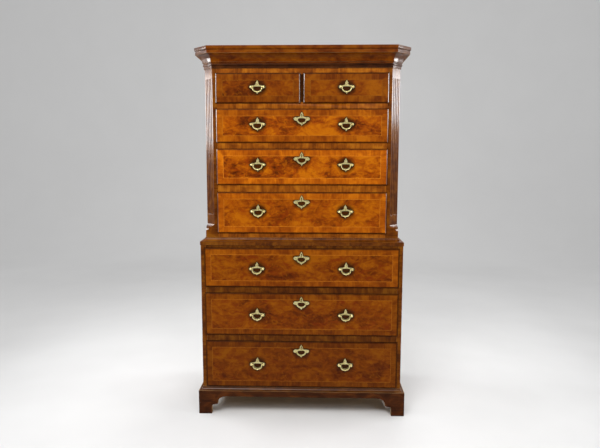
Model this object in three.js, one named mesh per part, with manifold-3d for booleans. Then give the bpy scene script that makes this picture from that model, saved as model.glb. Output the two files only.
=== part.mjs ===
import * as THREE from 'three';
import { mergeVertices } from 'three/addons/utils/BufferGeometryUtils.js';
import Module from 'manifold-3d';

// Chest on chest in walnut, early Georgian form: an upper chest with fluted canted corners stands
// in the waist moulding of a wider lower chest on bracket feet. Millimetres, Z up, front to -Y.

const wasm = await Module();
wasm.setup();

// Fits shared by all pieces
const seatGap = 0.3;
const cutOverrun = 5;
const grid = 0.001;

// Carcases
const lowerWidth = 1016;
const lowerDepth = 540;
const upperStepIn = 24;
const sideThickness = 20;
const backThickness = 13;
const backRebate = 8;
const boardThickness = 18;
const dustboardThickness = 12;
const lowerStileWidth = 25;
const lowerStileDepth = 25;
const railDepth = 60;
const bearerWidth = 22;
const guideHeight = 30;
const backBoardCount = 5;
const backGrooveWidth = 3;
const backGrooveDepth = 2;

// Heights from the floor up, as they show at the front
const footHeight = 93.5;
const apronHeight = 26;
const baseMouldingHeight = 21;
const baseRailShow = 2;
const bottomDrawerHeight = 241.5;
const lowerRailShow1 = 34;
const middleDrawerHeight = 217;
const lowerRailShow2 = 33;
const thirdDrawerHeight = 197;
const lowerTopRailShow = 15;
const waistCover = 16;
const waistRise = 21;
const upperBaseRailShow = 22;
const fourthDrawerHeight = 206;
const upperRailShow1 = 37;
const fifthDrawerHeight = 177.5;
const upperRailShow2 = 31;
const sixthDrawerHeight = 164;
const upperRailShow3 = 28;
const shortDrawerHeight = 143.5;
const friezeShow = 24;
const corniceHeight = 100;
const corniceWell = 32;
const corniceWall = 14;

// Canted corners
const cantLeg = 44;
const postReturn = 6;
const postWidth = 65;
const fluteCount = 4;
const flutePitch = 13.5;
const fluteRadius = 5.2;
const fluteDepth = 3.4;
const fluteBottomUp = 132;
const fluteTopDown = 47;
const stopTopUp = 89;
const stopLength = 36;
const stopShelfShare = 0.33;
const stopUpperShare = 0.36;
const stopLowerShare = 0.39;

// Drawers
const lipOverlap = 5;
const lipStand = 7;
const lipEdge = 6;
const frontBodyDepth = 17;
const frontPlay = 1;
const boxPlay = 1.5;
const boxSide = 10;
const boxBottom = 8;
const boxBottomRise = 8;
const boxTopDrop = 4;
const boxBackDrop = 12;
const boxRoomBehind = 30;
const muntinWidth = 26;

// Brasses
const upperHandleSpacing = 436;
const lowerHandleSpacing = 448;
const shortHandleRise = 4;
const sixthHandleRise = 7;
const fifthHandleRise = 11;
const fourthHandleRise = 8;
const thirdHandleDrop = 4;
const middleHandleDrop = 2;
const bottomHandleRise = 2;
const escutcheonDrop = 48.5;
const plateWidth = 80;
const plateHeight = 68;
const plateThickness = 2.4;
const postSpacing = 62;
const postStemRadius = 2.8;
const postFootRadius = 4.6;
const postHeadRadius = 5.4;
const postReach = 16;
const pivotReach = 11;
const bailRadius = 2.3;
const bailDrop = 24;
const bailShoulderGap = 0.6;
const pinRadius = 1.7;
const pinLengthInHead = 3;
const socketRadius = 2.4;
const keyholeRadius = 3;
const keyholeSlot = 3.2;
const keyholeLength = 15;
const keyholeUp = 8;

// Heights of the main levels
const baseFrameTop = footHeight + apronHeight;
const lowerCarcaseBottom = baseFrameTop + seatGap;
const baseMouldingTop = baseFrameTop + baseMouldingHeight;
const bottomDrawerLow = baseMouldingTop + baseRailShow;
const middleDrawerLow = bottomDrawerLow + bottomDrawerHeight + lowerRailShow1;
const thirdDrawerLow = middleDrawerLow + middleDrawerHeight + lowerRailShow2;
const waistBottom = thirdDrawerLow + thirdDrawerHeight + lowerTopRailShow;
const lowerCarcaseTop = waistBottom + waistCover;
const waistTop = lowerCarcaseTop + waistRise;
const upperCarcaseBottom = lowerCarcaseTop + seatGap + seatGap;
const fourthDrawerLow = waistTop + upperBaseRailShow;
const fifthDrawerLow = fourthDrawerLow + fourthDrawerHeight + upperRailShow1;
const sixthDrawerLow = fifthDrawerLow + fifthDrawerHeight + upperRailShow2;
const shortDrawerLow = sixthDrawerLow + sixthDrawerHeight + upperRailShow3;
const corniceBottom = shortDrawerLow + shortDrawerHeight + friezeShow;
const corniceTop = corniceBottom + corniceHeight;
const topBoardTop = corniceTop - corniceWell;
const topBoardUnderside = topBoardTop - boardThickness;

// Plan of the two carcases, with the lower front face at zero
const backFace = lowerDepth;
const insideBack = lowerDepth - backThickness;
const lower = {
  half: lowerWidth / 2,
  front: 0,
  inside: lowerWidth / 2 - sideThickness,
  opening: lowerWidth / 2 - lowerStileWidth,
  postBack: lowerStileDepth,
};
const upper = {
  half: lower.half - upperStepIn,
  front: upperStepIn,
  inside: lower.half - upperStepIn - sideThickness,
  opening: lower.half - upperStepIn - postWidth,
  postBack: upperStepIn + cantLeg + postReturn,
};

// Mouldings: projection past the carcase face, and height above the moulding's bottom
const corniceProjection = 47;
const corniceFootProjection = 4;
const corniceFootHeight = 12;
const corniceBeadRadius = 5;
const corniceFilletProjection = 6;
const corniceFilletTop = 29;
const cavettoFoot = 11;
const cavettoHead = 38;
const cavettoTop = 66;
const coronaProjection = 43;
const coronaTop = 79;
const coronaQuirkProjection = 40.5;
const coronaQuirkTop = 83;
const corniceCapBottom = 90;
const waistProjection = 2.5;
const waistFasciaHeight = 12;
const waistStepProjection = 0.5;
const waistStepRise = 3;
const waistLand = 3;
const baseProjection = 20;
const baseFilletHeight = 4;
const baseCoveFoot = 18;
const baseCoveHead = 2;
const baseCoveTopDrop = 2;
const baseBoardThickness = 22;
const baseLedgerWidth = 20;
const footBlock = 32;
const bracketWidth = 144;
const rearBracketWidth = 110;
const footPadWidth = 66.5;
const spurHeight = 38;
const spurTopShare = 0.52;
const spurWidthShare = 0.56;
const cuspShare = 0.67;
const cuspHeightShare = 0.56;

const quarterTurn = Math.PI / 2;
const eighthTurn = Math.PI / 4;

// Materials
function finish(color, roughness, metalness) {
  return new THREE.MeshStandardMaterial({ color, roughness, metalness });
}

const walnutFront = () => finish(0x9a5216, 0.32, 0);
const walnutCase = () => finish(0x7a4218, 0.38, 0);
const walnutDark = () => finish(0x4a2814, 0.42, 0);
const secondaryWood = () => finish(0x9c7a4c, 0.75, 0);
const brass = () => finish(0xc8ac6c, 0.3, 1);

// Solids: points are set to a fine grid, so that faces meant to be flush are exactly flush
function weld(geometry) {
  geometry.deleteAttribute('normal');
  geometry.deleteAttribute('uv');
  const points = geometry.attributes.position.array;
  points.forEach((value, i) => {
    points[i] = Math.round(value / grid) * grid;
  });
  return mergeVertices(geometry, grid / 2);
}

function solidOf(geometry) {
  const welded = weld(geometry);
  return new wasm.Manifold(new wasm.Mesh({
    numProp: 3,
    vertProperties: new Float32Array(welded.attributes.position.array),
    triVerts: new Uint32Array(welded.index.array),
  }));
}

function joined(solids) {
  return solids.reduce((whole, piece) => whole.add(piece));
}

function cutBy(body, cutters) {
  return cutters.reduce((rest, cutter) => rest.subtract(cutter), body);
}

function named(name, body, material) {
  const data = body.getMesh();
  const geometry = new THREE.BufferGeometry();
  geometry.setAttribute('position', new THREE.BufferAttribute(new Float32Array(data.vertProperties), 3));
  geometry.setIndex(new THREE.BufferAttribute(new Uint32Array(data.triVerts), 1));
  geometry.computeVertexNormals();
  const mesh = new THREE.Mesh(geometry, material);
  mesh.name = name;
  return mesh;
}

function block(x0, x1, y0, y1, z0, z1) {
  const geometry = new THREE.BoxGeometry(Math.abs(x1 - x0), y1 - y0, z1 - z0);
  geometry.translate((x0 + x1) / 2, (y0 + y1) / 2, (z0 + z1) / 2);
  return solidOf(geometry);
}

// A plan outline raised from one level to another
function raised(points, z0, z1) {
  const shape = new THREE.Shape(points.map(([x, y]) => new THREE.Vector2(x, y)));
  const geometry = new THREE.ExtrudeGeometry(shape, { depth: z1 - z0, bevelEnabled: false });
  geometry.translate(0, 0, z0);
  return solidOf(geometry);
}

// A front elevation, drawn in X and Z, given thickness backwards from y0
function elevation(shape, y0, thickness, curveSegments) {
  const geometry = new THREE.ExtrudeGeometry(shape, { depth: thickness, bevelEnabled: false, curveSegments });
  geometry.rotateX(quarterTurn);
  geometry.translate(0, y0 + thickness, 0);
  return geometry;
}

// Rings of equal point count, joined ring to ring and closed at both ends
function loft(rings) {
  const count = rings[0].length;
  const index = [];
  for (let r = 0; r + 1 < rings.length; r += 1) {
    for (let i = 0; i < count; i += 1) {
      const a = r * count + i;
      const b = r * count + (i + 1) % count;
      index.push(a, b, b + count, a, b + count, a + count);
    }
  }
  const last = (rings.length - 1) * count;
  for (let i = 1; i + 1 < count; i += 1) {
    index.push(0, i + 1, i);
    index.push(last, last + i, last + i + 1);
  }
  const geometry = new THREE.BufferGeometry();
  geometry.setAttribute('position', new THREE.Float32BufferAttribute(rings.flat(2), 3));
  geometry.setIndex(index);
  return solidOf(geometry);
}

// Plan outlines, set out by a projection, with a plain back
function squarePlan(chest, projection) {
  const x = chest.half + projection;
  const y = chest.front - projection;
  return [[x, backFace], [-x, backFace], [-x, y], [x, y]];
}

function cantedPlan(chest, projection) {
  const shift = projection * Math.tan(eighthTurn / 2);
  const x = chest.half + projection;
  const y = chest.front - projection;
  const cantX = chest.half - cantLeg + shift;
  const cantY = chest.front + cantLeg - shift;
  return [[x, backFace], [-x, backFace], [-x, cantY], [-cantX, y], [cantX, y], [x, cantY]];
}

function throughBack(plan) {
  return plan.map(([x, y]) => [x, y === backFace ? y + cutOverrun : y]);
}

function ring(plan, z) {
  return plan.map(([x, y]) => [x, y, z]);
}

// Carcase pieces

// A rail, and behind it a board with bearers under its edges and drawer guides on top
function shelf(chest, low, high, boardLow, boardHigh) {
  const edge = chest.opening - seatGap;
  const side = chest.inside - seatGap;
  const bearer = chest.opening - bearerWidth;
  const guide = chest.opening + seatGap;
  const right = [
    [bearer, boardLow], [bearer, low], [side, low], [side, high + guideHeight],
    [guide, high + guideHeight], [guide, high], [bearer, high], [bearer, boardHigh],
  ].filter(([x, z], i, all) => i === 0 || x !== all[i - 1][0] || z !== all[i - 1][1]);
  const left = right.map(([x, z]) => [-x, z]).reverse();
  const shape = new THREE.Shape(right.concat(left).map(([x, z]) => new THREE.Vector2(x, z)));
  const back = chest.front + railDepth;
  const section = elevation(shape, back, insideBack - seatGap - back, 1);
  return solidOf(section).add(block(-edge, edge, chest.front, back, low, high));
}

function divider(chest, low, high) {
  return shelf(chest, low, high, high - dustboardThickness, high);
}

function bottomBoard(chest, low, high) {
  return shelf(chest, low, high, low, low + boardThickness);
}

function backPanel(chest, low, high) {
  const half = chest.half - backRebate - seatGap;
  const panel = block(-half, half, insideBack, backFace, low, high);
  const pitch = 2 * half / backBoardCount;
  const grooves = [];
  for (let i = 1; i < backBoardCount; i += 1) {
    const x = i * pitch - half;
    const x0 = x - backGrooveWidth / 2;
    const x1 = x + backGrooveWidth / 2;
    const y1 = backFace + cutOverrun;
    grooves.push(block(x0, x1, backFace - backGrooveDepth, y1, low - cutOverrun, high + cutOverrun));
  }
  return cutBy(panel, grooves);
}

function lowerSide(hand) {
  const outline = [
    [lower.opening, lower.front], [lower.half, lower.front], [lower.half, backFace],
    [lower.half - backRebate, backFace], [lower.half - backRebate, insideBack - seatGap],
    [lower.inside, insideBack - seatGap], [lower.inside, lower.postBack], [lower.opening, lower.postBack],
  ];
  return raised(outline.map(([x, y]) => [hand * x, y]), lowerCarcaseBottom, lowerCarcaseTop);
}

function upperSide(hand) {
  const front = upper.postBack + seatGap;
  const outline = [
    [upper.inside, front], [upper.half, front], [upper.half, backFace],
    [upper.half - backRebate, backFace], [upper.half - backRebate, insideBack - seatGap],
    [upper.inside, insideBack - seatGap],
  ];
  const top = topBoardUnderside - seatGap;
  const board = raised(outline.map(([x, y]) => [hand * x, y]), upperCarcaseBottom, top);
  const kickerLow = shortDrawerLow + shortDrawerHeight - lipOverlap;
  const kicker = block(hand * (upper.opening - bearerWidth), hand * (upper.inside + seatGap),
    front + cutOverrun, insideBack - cutOverrun, kickerLow, kickerLow + bearerWidth);
  return board.add(kicker);
}

// Corner post with a flat cant, stopped flutes and a lamb's tongue below them
function cantedCorner(hand) {
  const top = topBoardUnderside - seatGap;
  const x0 = hand * (upper.half - postWidth);
  const x1 = hand * upper.half;
  const post = block(x0, x1, upper.front, upper.postBack, upperCarcaseBottom, top);
  const depth = cantLeg * Math.SQRT1_2;
  const stopTop = upperCarcaseBottom + stopTopUp;
  const stopBottom = stopTop - stopLength;
  const shelfTop = stopTop - stopLength * stopUpperShare;
  const shelfBottom = stopBottom + stopLength * stopLowerShare;
  const shelfDepth = depth * stopShelfShare;
  const face = new THREE.Shape();
  face.moveTo(cutOverrun, top + cutOverrun);
  face.lineTo(-depth, top + cutOverrun);
  face.lineTo(-depth, stopTop);
  face.quadraticCurveTo(-depth, shelfTop, -shelfDepth, shelfTop);
  face.lineTo(-shelfDepth, shelfBottom);
  face.quadraticCurveTo(-shelfDepth, (shelfBottom + stopBottom) / 2, cutOverrun, stopBottom);
  const across = cantLeg * 2;
  const chamfer = elevation(face, -across / 2, across, 5);
  const cutters = [chamfer];
  const fluteLow = upperCarcaseBottom + fluteBottomUp;
  const fluteHigh = corniceBottom - fluteTopDown;
  for (let i = 0; i < fluteCount; i += 1) {
    const flute = fluteCutter(fluteLow, fluteHigh);
    const along = (i - (fluteCount - 1) / 2) * flutePitch;
    flute.translate(fluteRadius - fluteDepth - depth, along, 0);
    cutters.push(flute);
  }
  const turn = -quarterTurn + hand * eighthTurn;
  const placed = cutters.map((geometry) => {
    geometry.rotateZ(turn);
    geometry.translate(x1, upper.front, 0);
    return solidOf(geometry);
  });
  return cutBy(post, placed);
}

function fluteCutter(low, high) {
  const bend = fluteRadius * Math.SQRT1_2;
  const rise = fluteRadius - bend;
  const profile = [
    [0, low], [bend, low + rise], [fluteRadius, low + fluteRadius],
    [fluteRadius, high - fluteRadius], [bend, high - rise], [0, high],
  ];
  const points = profile.map(([r, z]) => new THREE.Vector2(r, z));
  const geometry = weld(new THREE.LatheGeometry(points, 10));
  geometry.rotateX(quarterTurn);
  return geometry;
}

// Cornice, broken forward over the canted corners, with the carcase top and frieze rail behind it
function corniceProfile() {
  const path = new THREE.Path();
  path.moveTo(corniceFootProjection, 0);
  path.lineTo(corniceFootProjection, corniceFootHeight);
  const beadMiddle = corniceFootHeight + corniceBeadRadius;
  path.absarc(corniceFootProjection, beadMiddle, corniceBeadRadius, -quarterTurn, quarterTurn, false);
  path.lineTo(corniceFilletProjection, beadMiddle + corniceBeadRadius);
  path.lineTo(corniceFilletProjection, corniceFilletTop);
  path.lineTo(cavettoFoot, corniceFilletTop);
  const run = cavettoHead - cavettoFoot;
  const rise = cavettoTop - corniceFilletTop;
  path.absellipse(cavettoHead, corniceFilletTop, run, rise, Math.PI, quarterTurn, true, 0);
  path.lineTo(coronaProjection, cavettoTop);
  path.lineTo(coronaProjection, coronaTop);
  path.lineTo(coronaQuirkProjection, coronaTop);
  path.lineTo(coronaQuirkProjection, coronaQuirkTop);
  const capRun = corniceProjection - coronaQuirkProjection;
  const capRise = corniceCapBottom - coronaQuirkTop;
  path.absellipse(coronaQuirkProjection, corniceCapBottom, capRun, capRise, -quarterTurn, 0, false, 0);
  path.lineTo(corniceProjection, corniceHeight);
  return distinct(path.getPoints(5));
}

function distinct(points) {
  return points.filter((p, i) => i === 0 || p.distanceTo(points[i - 1]) > seatGap / 10);
}

function cornice() {
  const planAt = (projection) => cantedPlan(upper, projection);
  const run = loft(corniceProfile().map(({ x, y }) => ring(planAt(x), corniceBottom + y)));
  const under = raised(throughBack(planAt(seatGap)), corniceBottom - cutOverrun, topBoardUnderside);
  const well = raised(throughBack(planAt(-corniceWall)), topBoardTop, corniceTop + cutOverrun);
  const edge = upper.opening - seatGap;
  const railLow = shortDrawerLow + shortDrawerHeight - lipOverlap;
  const railHigh = topBoardUnderside + boardThickness / 2;
  const rail = block(-edge, edge, upper.front, upper.postBack, railLow, railHigh);
  return cutBy(run, [under, well]).add(rail);
}

// Top of the lower chest with the waist moulding that holds the upper chest in place
function waistProfile() {
  const path = new THREE.Path();
  path.moveTo(waistProjection, 0);
  path.lineTo(waistProjection, waistFasciaHeight);
  const stepTop = waistCover + waistStepRise;
  path.quadraticCurveTo(waistProjection, stepTop, waistStepProjection, stepTop);
  const run = upperStepIn - waistLand + waistStepProjection;
  const top = waistCover + waistRise;
  path.absellipse(waistStepProjection, top, run, top - stepTop, -quarterTurn, -Math.PI, true, 0);
  return distinct(path.getPoints(5));
}

function lowerTop() {
  const low = thirdDrawerLow + thirdDrawerHeight - lipOverlap;
  const high = lowerCarcaseTop + seatGap;
  const side = lower.inside - seatGap;
  const back = backFace + cutOverrun;
  const rings = waistProfile().map(({ x, y }) => ring(squarePlan(lower, x), waistBottom + y));
  const inner = [[side, backFace], [-side, backFace], [-side, lower.front], [side, lower.front]];
  const body = loft([ring(inner, low), ring(inner, waistBottom), ...rings]);
  const outside = lower.half + seatGap;
  const stile = lower.opening - seatGap;
  const stileBack = lower.postBack + seatGap;
  const cutters = [block(-outside, outside, insideBack - seatGap, back, low - cutOverrun, high)];
  for (const hand of [-1, 1]) {
    const beside = [
      [side, back], [side, stileBack], [stile, stileBack], [stile, lower.front], [outside, lower.front],
      [outside, back],
    ];
    cutters.push(raised(beside.map(([x, y]) => [hand * x, y]), low - cutOverrun, high));
  }
  const bearer = lower.opening - bearerWidth;
  const under = high - boardThickness;
  cutters.push(block(-bearer, bearer, lower.front + railDepth, back, low - cutOverrun, under));
  cutters.push(raised(throughBack(squarePlan(upper, seatGap)), high, waistTop + cutOverrun));
  return cutBy(body, cutters);
}

// Base: moulding, apron and four bracket feet, glued up as one frame
function baseProfile() {
  const path = new THREE.Path();
  path.moveTo(baseProjection, 0);
  path.lineTo(baseProjection, baseFilletHeight);
  path.lineTo(baseCoveFoot, baseFilletHeight);
  const coveTop = baseMouldingHeight - baseCoveTopDrop;
  const run = baseCoveFoot - baseCoveHead;
  path.absellipse(baseCoveFoot, coveTop, run, coveTop - baseFilletHeight, -quarterTurn, -Math.PI, true, 0);
  path.lineTo(baseCoveHead, baseMouldingHeight);
  return distinct(path.getPoints(5));
}

// The open space under a board between two bracket feet, from u0 to u1 along the board
function bracketArch(u0, u1) {
  const shape = new THREE.Shape();
  const spurTop = footHeight * spurTopShare;
  const cuspHeight = footHeight * cuspHeightShare;
  const spurEnd = bracketWidth * spurWidthShare;
  const cusp = bracketWidth * cuspShare;
  shape.moveTo(u0 + footPadWidth, -cutOverrun);
  shape.lineTo(u0 + footPadWidth, spurHeight);
  shape.quadraticCurveTo(u0 + footPadWidth, spurTop, u0 + spurEnd, spurTop);
  shape.lineTo(u0 + cusp, cuspHeight);
  shape.quadraticCurveTo(u0 + cusp, footHeight, u0 + bracketWidth, footHeight);
  shape.lineTo(u1 - bracketWidth, footHeight);
  shape.quadraticCurveTo(u1 - cusp, footHeight, u1 - cusp, cuspHeight);
  shape.lineTo(u1 - spurEnd, spurTop);
  shape.quadraticCurveTo(u1 - footPadWidth, spurTop, u1 - footPadWidth, spurHeight);
  shape.lineTo(u1 - footPadWidth, -cutOverrun);
  return shape;
}

function rearArch(half) {
  const shape = new THREE.Shape();
  shape.moveTo(footPadWidth - half, -cutOverrun);
  shape.lineTo(footPadWidth - half, 0);
  shape.lineTo(rearBracketWidth - half, footHeight);
  shape.lineTo(half - rearBracketWidth, footHeight);
  shape.lineTo(half - footPadWidth, 0);
  shape.lineTo(half - footPadWidth, -cutOverrun);
  return shape;
}

// Inside of the four boards, leaving a glue block in each corner
function insideFeet(half, front, back) {
  const x = half - footBlock;
  const y0 = front + footBlock;
  const y1 = back - footBlock;
  return [
    [x, front], [x, y0], [half, y0], [half, y1], [x, y1], [x, back],
    [-x, back], [-x, y1], [-half, y1], [-half, y0], [-x, y0], [-x, front],
  ];
}

function bracketBase() {
  const half = lower.half + baseProjection;
  const front = lower.front - baseProjection;
  const planAt = (projection) => squarePlan(lower, projection);
  const rings = baseProfile().map(({ x, y }) => ring(planAt(x), baseFrameTop + y));
  const body = loft([ring(planAt(baseProjection), 0), ...rings]);
  const inner = half - baseBoardThickness;
  const frontBack = front + baseBoardThickness;
  const rearFace = backFace - baseBoardThickness;
  const ledger = inner - baseLedgerWidth;
  const ledgerFront = frontBack + baseLedgerWidth;
  const ledgerBack = rearFace - baseLedgerWidth;
  const boardCut = baseBoardThickness + cutOverrun * 2;
  const throughCut = (half + cutOverrun) * 2;
  const sideArch = elevation(bracketArch(front, backFace), -throughCut / 2, throughCut, 4);
  sideArch.rotateZ(quarterTurn);
  return cutBy(body, [
    raised(throughBack(planAt(seatGap)), baseFrameTop, baseMouldingTop + cutOverrun),
    block(-ledger, ledger, ledgerFront, ledgerBack, footBlock, baseMouldingTop),
    raised(insideFeet(inner, frontBack, rearFace), -cutOverrun, footHeight),
    solidOf(elevation(bracketArch(-half, half), front - cutOverrun, boardCut, 4)),
    solidOf(elevation(rearArch(inner), rearFace - cutOverrun, boardCut, 1)),
    solidOf(sideArch),
  ]);
}

// Muntin between the short drawers, with the guide that runs back from it
function muntin() {
  const low = shortDrawerLow + lipOverlap;
  const high = shortDrawerLow + shortDrawerHeight - lipOverlap - seatGap;
  const half = muntinWidth / 2;
  const front = upper.front;
  const upright = block(-half, half, front, front + lowerStileDepth, low, high);
  const guideBack = insideBack - cutOverrun;
  const guideFront = front + cutOverrun;
  const foot = low - dustboardThickness / 2;
  const guide = block(seatGap - half, half - seatGap, guideFront, guideBack, foot, low + guideHeight);
  return upright.add(guide);
}

// Drawers: a lipped front with an ovolo edge, and the dovetailed box behind it
function drawer(chest, left, right, low, high) {
  const rect = (inset, y) => [
    [left + inset, y, low + inset], [right - inset, y, low + inset],
    [right - inset, y, high - inset], [left + inset, y, high - inset],
  ];
  const bodyInset = lipOverlap + frontPlay;
  const lipBack = chest.front - seatGap;
  const face = chest.front - lipStand;
  const rings = [rect(bodyInset, chest.front + frontBodyDepth), rect(bodyInset, lipBack)];
  const edgeSteps = 3;
  for (let i = 0; i <= edgeSteps; i += 1) {
    const angle = quarterTurn * i / edgeSteps;
    const drop = lipEdge * (1 - Math.cos(angle));
    rings.push(rect(drop, face + (lipBack - face) * (1 - Math.sin(angle))));
  }
  const front = loft(rings);
  const inset = lipOverlap + boxPlay;
  const floor = low + lipOverlap + seatGap;
  const top = high - lipOverlap - boxTopDrop;
  const y0 = chest.front + frontBodyDepth - frontPlay;
  const y1 = insideBack - boxRoomBehind;
  const box = block(left + inset, right - inset, y0, y1, floor, top);
  const x0 = left + inset + boxSide;
  const x1 = right - inset - boxSide;
  const bottomLow = floor + boxBottomRise;
  const hollow = block(x0, x1, y0 - cutOverrun, y1 - boxSide, bottomLow + boxBottom, top + cutOverrun);
  const underBottom = block(x0, x1, y0 - cutOverrun, y1 - boxSide, floor - cutOverrun, bottomLow);
  const notchFront = y1 - boxSide - cutOverrun;
  const backNotch = block(x0, x1, notchFront, y1 + cutOverrun, top - boxBackDrop, top + cutOverrun);
  return front.add(cutBy(box, [hollow, underBottom, backNotch]));
}

// Brasses: a pierced plate with a spire and two lobes, its posts, and the swinging bail
const plateOutlineShares = [
  [0, 1], [0.1, 0.78], [0.19, 0.58], [0.17, 0.44], [0.28, 0.3], [0.52, 0.24], [0.8, 0.25], [0.95, 0.12],
  [1, 0], [0.95, -0.13], [0.8, -0.25], [0.66, -0.28], [0.6, -0.44], [0.4, -0.66], [0.17, -0.77], [0, -1],
];
const plateOpeningShares = [[0, 0.1], [0.3, 0.08], [0.46, -0.04], [0.44, -0.26], [0.28, -0.46], [0, -0.56]];

function bothHalves(shares) {
  const across = plateWidth / 2;
  const up = plateHeight / 2;
  const right = shares.map(([u, v]) => new THREE.Vector2(u * across, v * up));
  const left = right.slice(1, -1).reverse().map((p) => new THREE.Vector2(-p.x, p.y));
  return right.concat(left).reverse();
}

function plateShape() {
  const shape = new THREE.Shape(bothHalves(plateOutlineShares));
  shape.holes.push(new THREE.Path(bothHalves(plateOpeningShares)));
  return shape;
}

function keyhole() {
  const path = new THREE.Path();
  const slot = keyholeSlot / 2;
  const lean = Math.asin(slot / keyholeRadius);
  path.absarc(0, keyholeUp + keyholeLength - keyholeRadius, keyholeRadius, lean - quarterTurn,
    -quarterTurn - lean, false);
  path.lineTo(-slot, keyholeUp);
  path.lineTo(slot, keyholeUp);
  return new THREE.Path(distinct(path.getPoints(6)));
}

function plateBack(face) {
  return face - seatGap;
}

function pivotAt(face) {
  return plateBack(face) - plateThickness - pivotReach;
}

function handlePlate(x, face, z) {
  const y = plateBack(face) - plateThickness;
  const plate = elevation(plateShape(), y, plateThickness, 1);
  plate.translate(x, 0, z);
  const headMiddle = plateThickness + pivotReach;
  const sunk = plateThickness / 2;
  const profile = [
    [0, sunk], [postFootRadius, sunk], [postStemRadius, plateThickness + postFootRadius],
    [postHeadRadius, headMiddle - socketRadius], [postHeadRadius, headMiddle + socketRadius],
    [0, plateThickness + postReach],
  ];
  const points = profile.map(([r, h]) => new THREE.Vector2(r, h));
  const posts = [-1, 1].map((hand) => {
    const post = weld(new THREE.LatheGeometry(points, 6));
    post.rotateX(Math.PI);
    post.translate(x + hand * postSpacing / 2, plateBack(face), z);
    return solidOf(post);
  });
  const socketLength = postSpacing - 2 * (postHeadRadius - pinLengthInHead - seatGap);
  const socket = weld(new THREE.CylinderGeometry(socketRadius, socketRadius, socketLength, 8));
  socket.rotateZ(quarterTurn);
  socket.translate(x, pivotAt(face), z);
  return joined([solidOf(plate), ...posts]).subtract(solidOf(socket));
}

function escutcheon(x, face, z) {
  const shape = plateShape();
  shape.holes.push(keyhole());
  const plate = elevation(shape, plateBack(face) - plateThickness, plateThickness, 1);
  plate.translate(x, 0, z);
  return solidOf(plate);
}

const bailCurveShares = [[1, 0.12], [1, -0.16], [0.93, -0.5], [0.62, -0.84], [0, -1]];

function bail(x, face, z) {
  const leg = postSpacing / 2 - postHeadRadius - bailShoulderGap - bailRadius;
  const right = bailCurveShares.map(([u, v]) => new THREE.Vector3(u * leg, 0, v * bailDrop));
  const left = right.slice(0, -1).reverse().map((p) => new THREE.Vector3(-p.x, 0, p.z));
  const curve = new THREE.CatmullRomCurve3(right.concat(left), false, 'centripetal');
  const section = [];
  const sides = 6;
  for (let i = 0; i < sides; i += 1) {
    const angle = 2 * Math.PI * i / sides;
    section.push(new THREE.Vector2(bailRadius * Math.cos(angle), bailRadius * Math.sin(angle)));
  }
  const bow = new THREE.ExtrudeGeometry(new THREE.Shape(section), { steps: 10, extrudePath: curve });
  const pieces = [solidOf(bow)];
  const tip = postSpacing / 2 - postHeadRadius + pinLengthInHead;
  for (const hand of [-1, 1]) {
    const pin = weld(new THREE.CylinderGeometry(pinRadius, pinRadius, tip - leg, sides));
    pin.rotateZ(quarterTurn);
    pin.translate(hand * (leg + tip) / 2, 0, 0);
    pieces.push(solidOf(pin));
  }
  return joined(pieces).translate([x, pivotAt(face), z]);
}

// Assembly
const chest = new THREE.Group();
const handleReach = seatGap + plateThickness + postReach;
const frontReach = Math.max(lipStand + handleReach, baseProjection, corniceProjection - upperStepIn);
chest.position.y = (frontReach - backFace) / 2;

function place(name, body, material) {
  chest.add(named(name, body, material));
}

function placeDrawer(name, carcase, left, right, low, height, handles, handleRise) {
  const high = low + height;
  const face = carcase.front - lipStand;
  place(name, drawer(carcase, left, right, low, high), walnutFront());
  const z = (low + high) / 2 + handleRise;
  for (const { suffix, x } of handles) {
    place(`${name}_plate${suffix}`, handlePlate(x, face, z), brass());
    place(`${name}_bail${suffix}`, bail(x, face, z), brass());
  }
  if (handles.length > 1) {
    place(`${name}_escutcheon`, escutcheon(0, face, high - escutcheonDrop), brass());
  }
}

function placeLongDrawer(name, carcase, spacing, low, height, handleRise) {
  const half = carcase.opening + lipOverlap;
  const handles = [{ suffix: '_left', x: -spacing / 2 }, { suffix: '_right', x: spacing / 2 }];
  placeDrawer(name, carcase, -half, half, low, height, handles, handleRise);
}

for (const hand of [-1, 1]) {
  const word = hand < 0 ? 'left' : 'right';
  place(`lower_side_${word}`, lowerSide(hand), walnutCase());
  place(`upper_side_${word}`, upperSide(hand), walnutCase());
  place(`canted_corner_${word}`, cantedCorner(hand), walnutDark());
  const inner = muntinWidth / 2 - lipOverlap;
  const outer = upper.opening + lipOverlap;
  const left = hand < 0 ? -outer : inner;
  const right = hand < 0 ? -inner : outer;
  const handles = [{ suffix: '', x: hand * upperHandleSpacing / 2 }];
  const name = `short_drawer_${word}`;
  placeDrawer(name, upper, left, right, shortDrawerLow, shortDrawerHeight, handles, shortHandleRise);
}

function placeUpperDrawer(number, low, height, handleRise) {
  placeLongDrawer(`upper_long_drawer_${number}`, upper, upperHandleSpacing, low, height, handleRise);
}

function placeLowerDrawer(number, low, height, handleRise) {
  placeLongDrawer(`lower_long_drawer_${number}`, lower, lowerHandleSpacing, low, height, handleRise);
}

placeUpperDrawer(1, sixthDrawerLow, sixthDrawerHeight, sixthHandleRise);
placeUpperDrawer(2, fifthDrawerLow, fifthDrawerHeight, fifthHandleRise);
placeUpperDrawer(3, fourthDrawerLow, fourthDrawerHeight, fourthHandleRise);
placeLowerDrawer(1, thirdDrawerLow, thirdDrawerHeight, -thirdHandleDrop);
placeLowerDrawer(2, middleDrawerLow, middleDrawerHeight, -middleHandleDrop);
placeLowerDrawer(3, bottomDrawerLow, bottomDrawerHeight, bottomHandleRise);

function placeDivider(name, carcase, drawerBelowTop, drawerAboveLow, extras) {
  const body = divider(carcase, drawerBelowTop - lipOverlap, drawerAboveLow + lipOverlap);
  place(name, joined([body, ...extras]), walnutCase());
}

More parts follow.
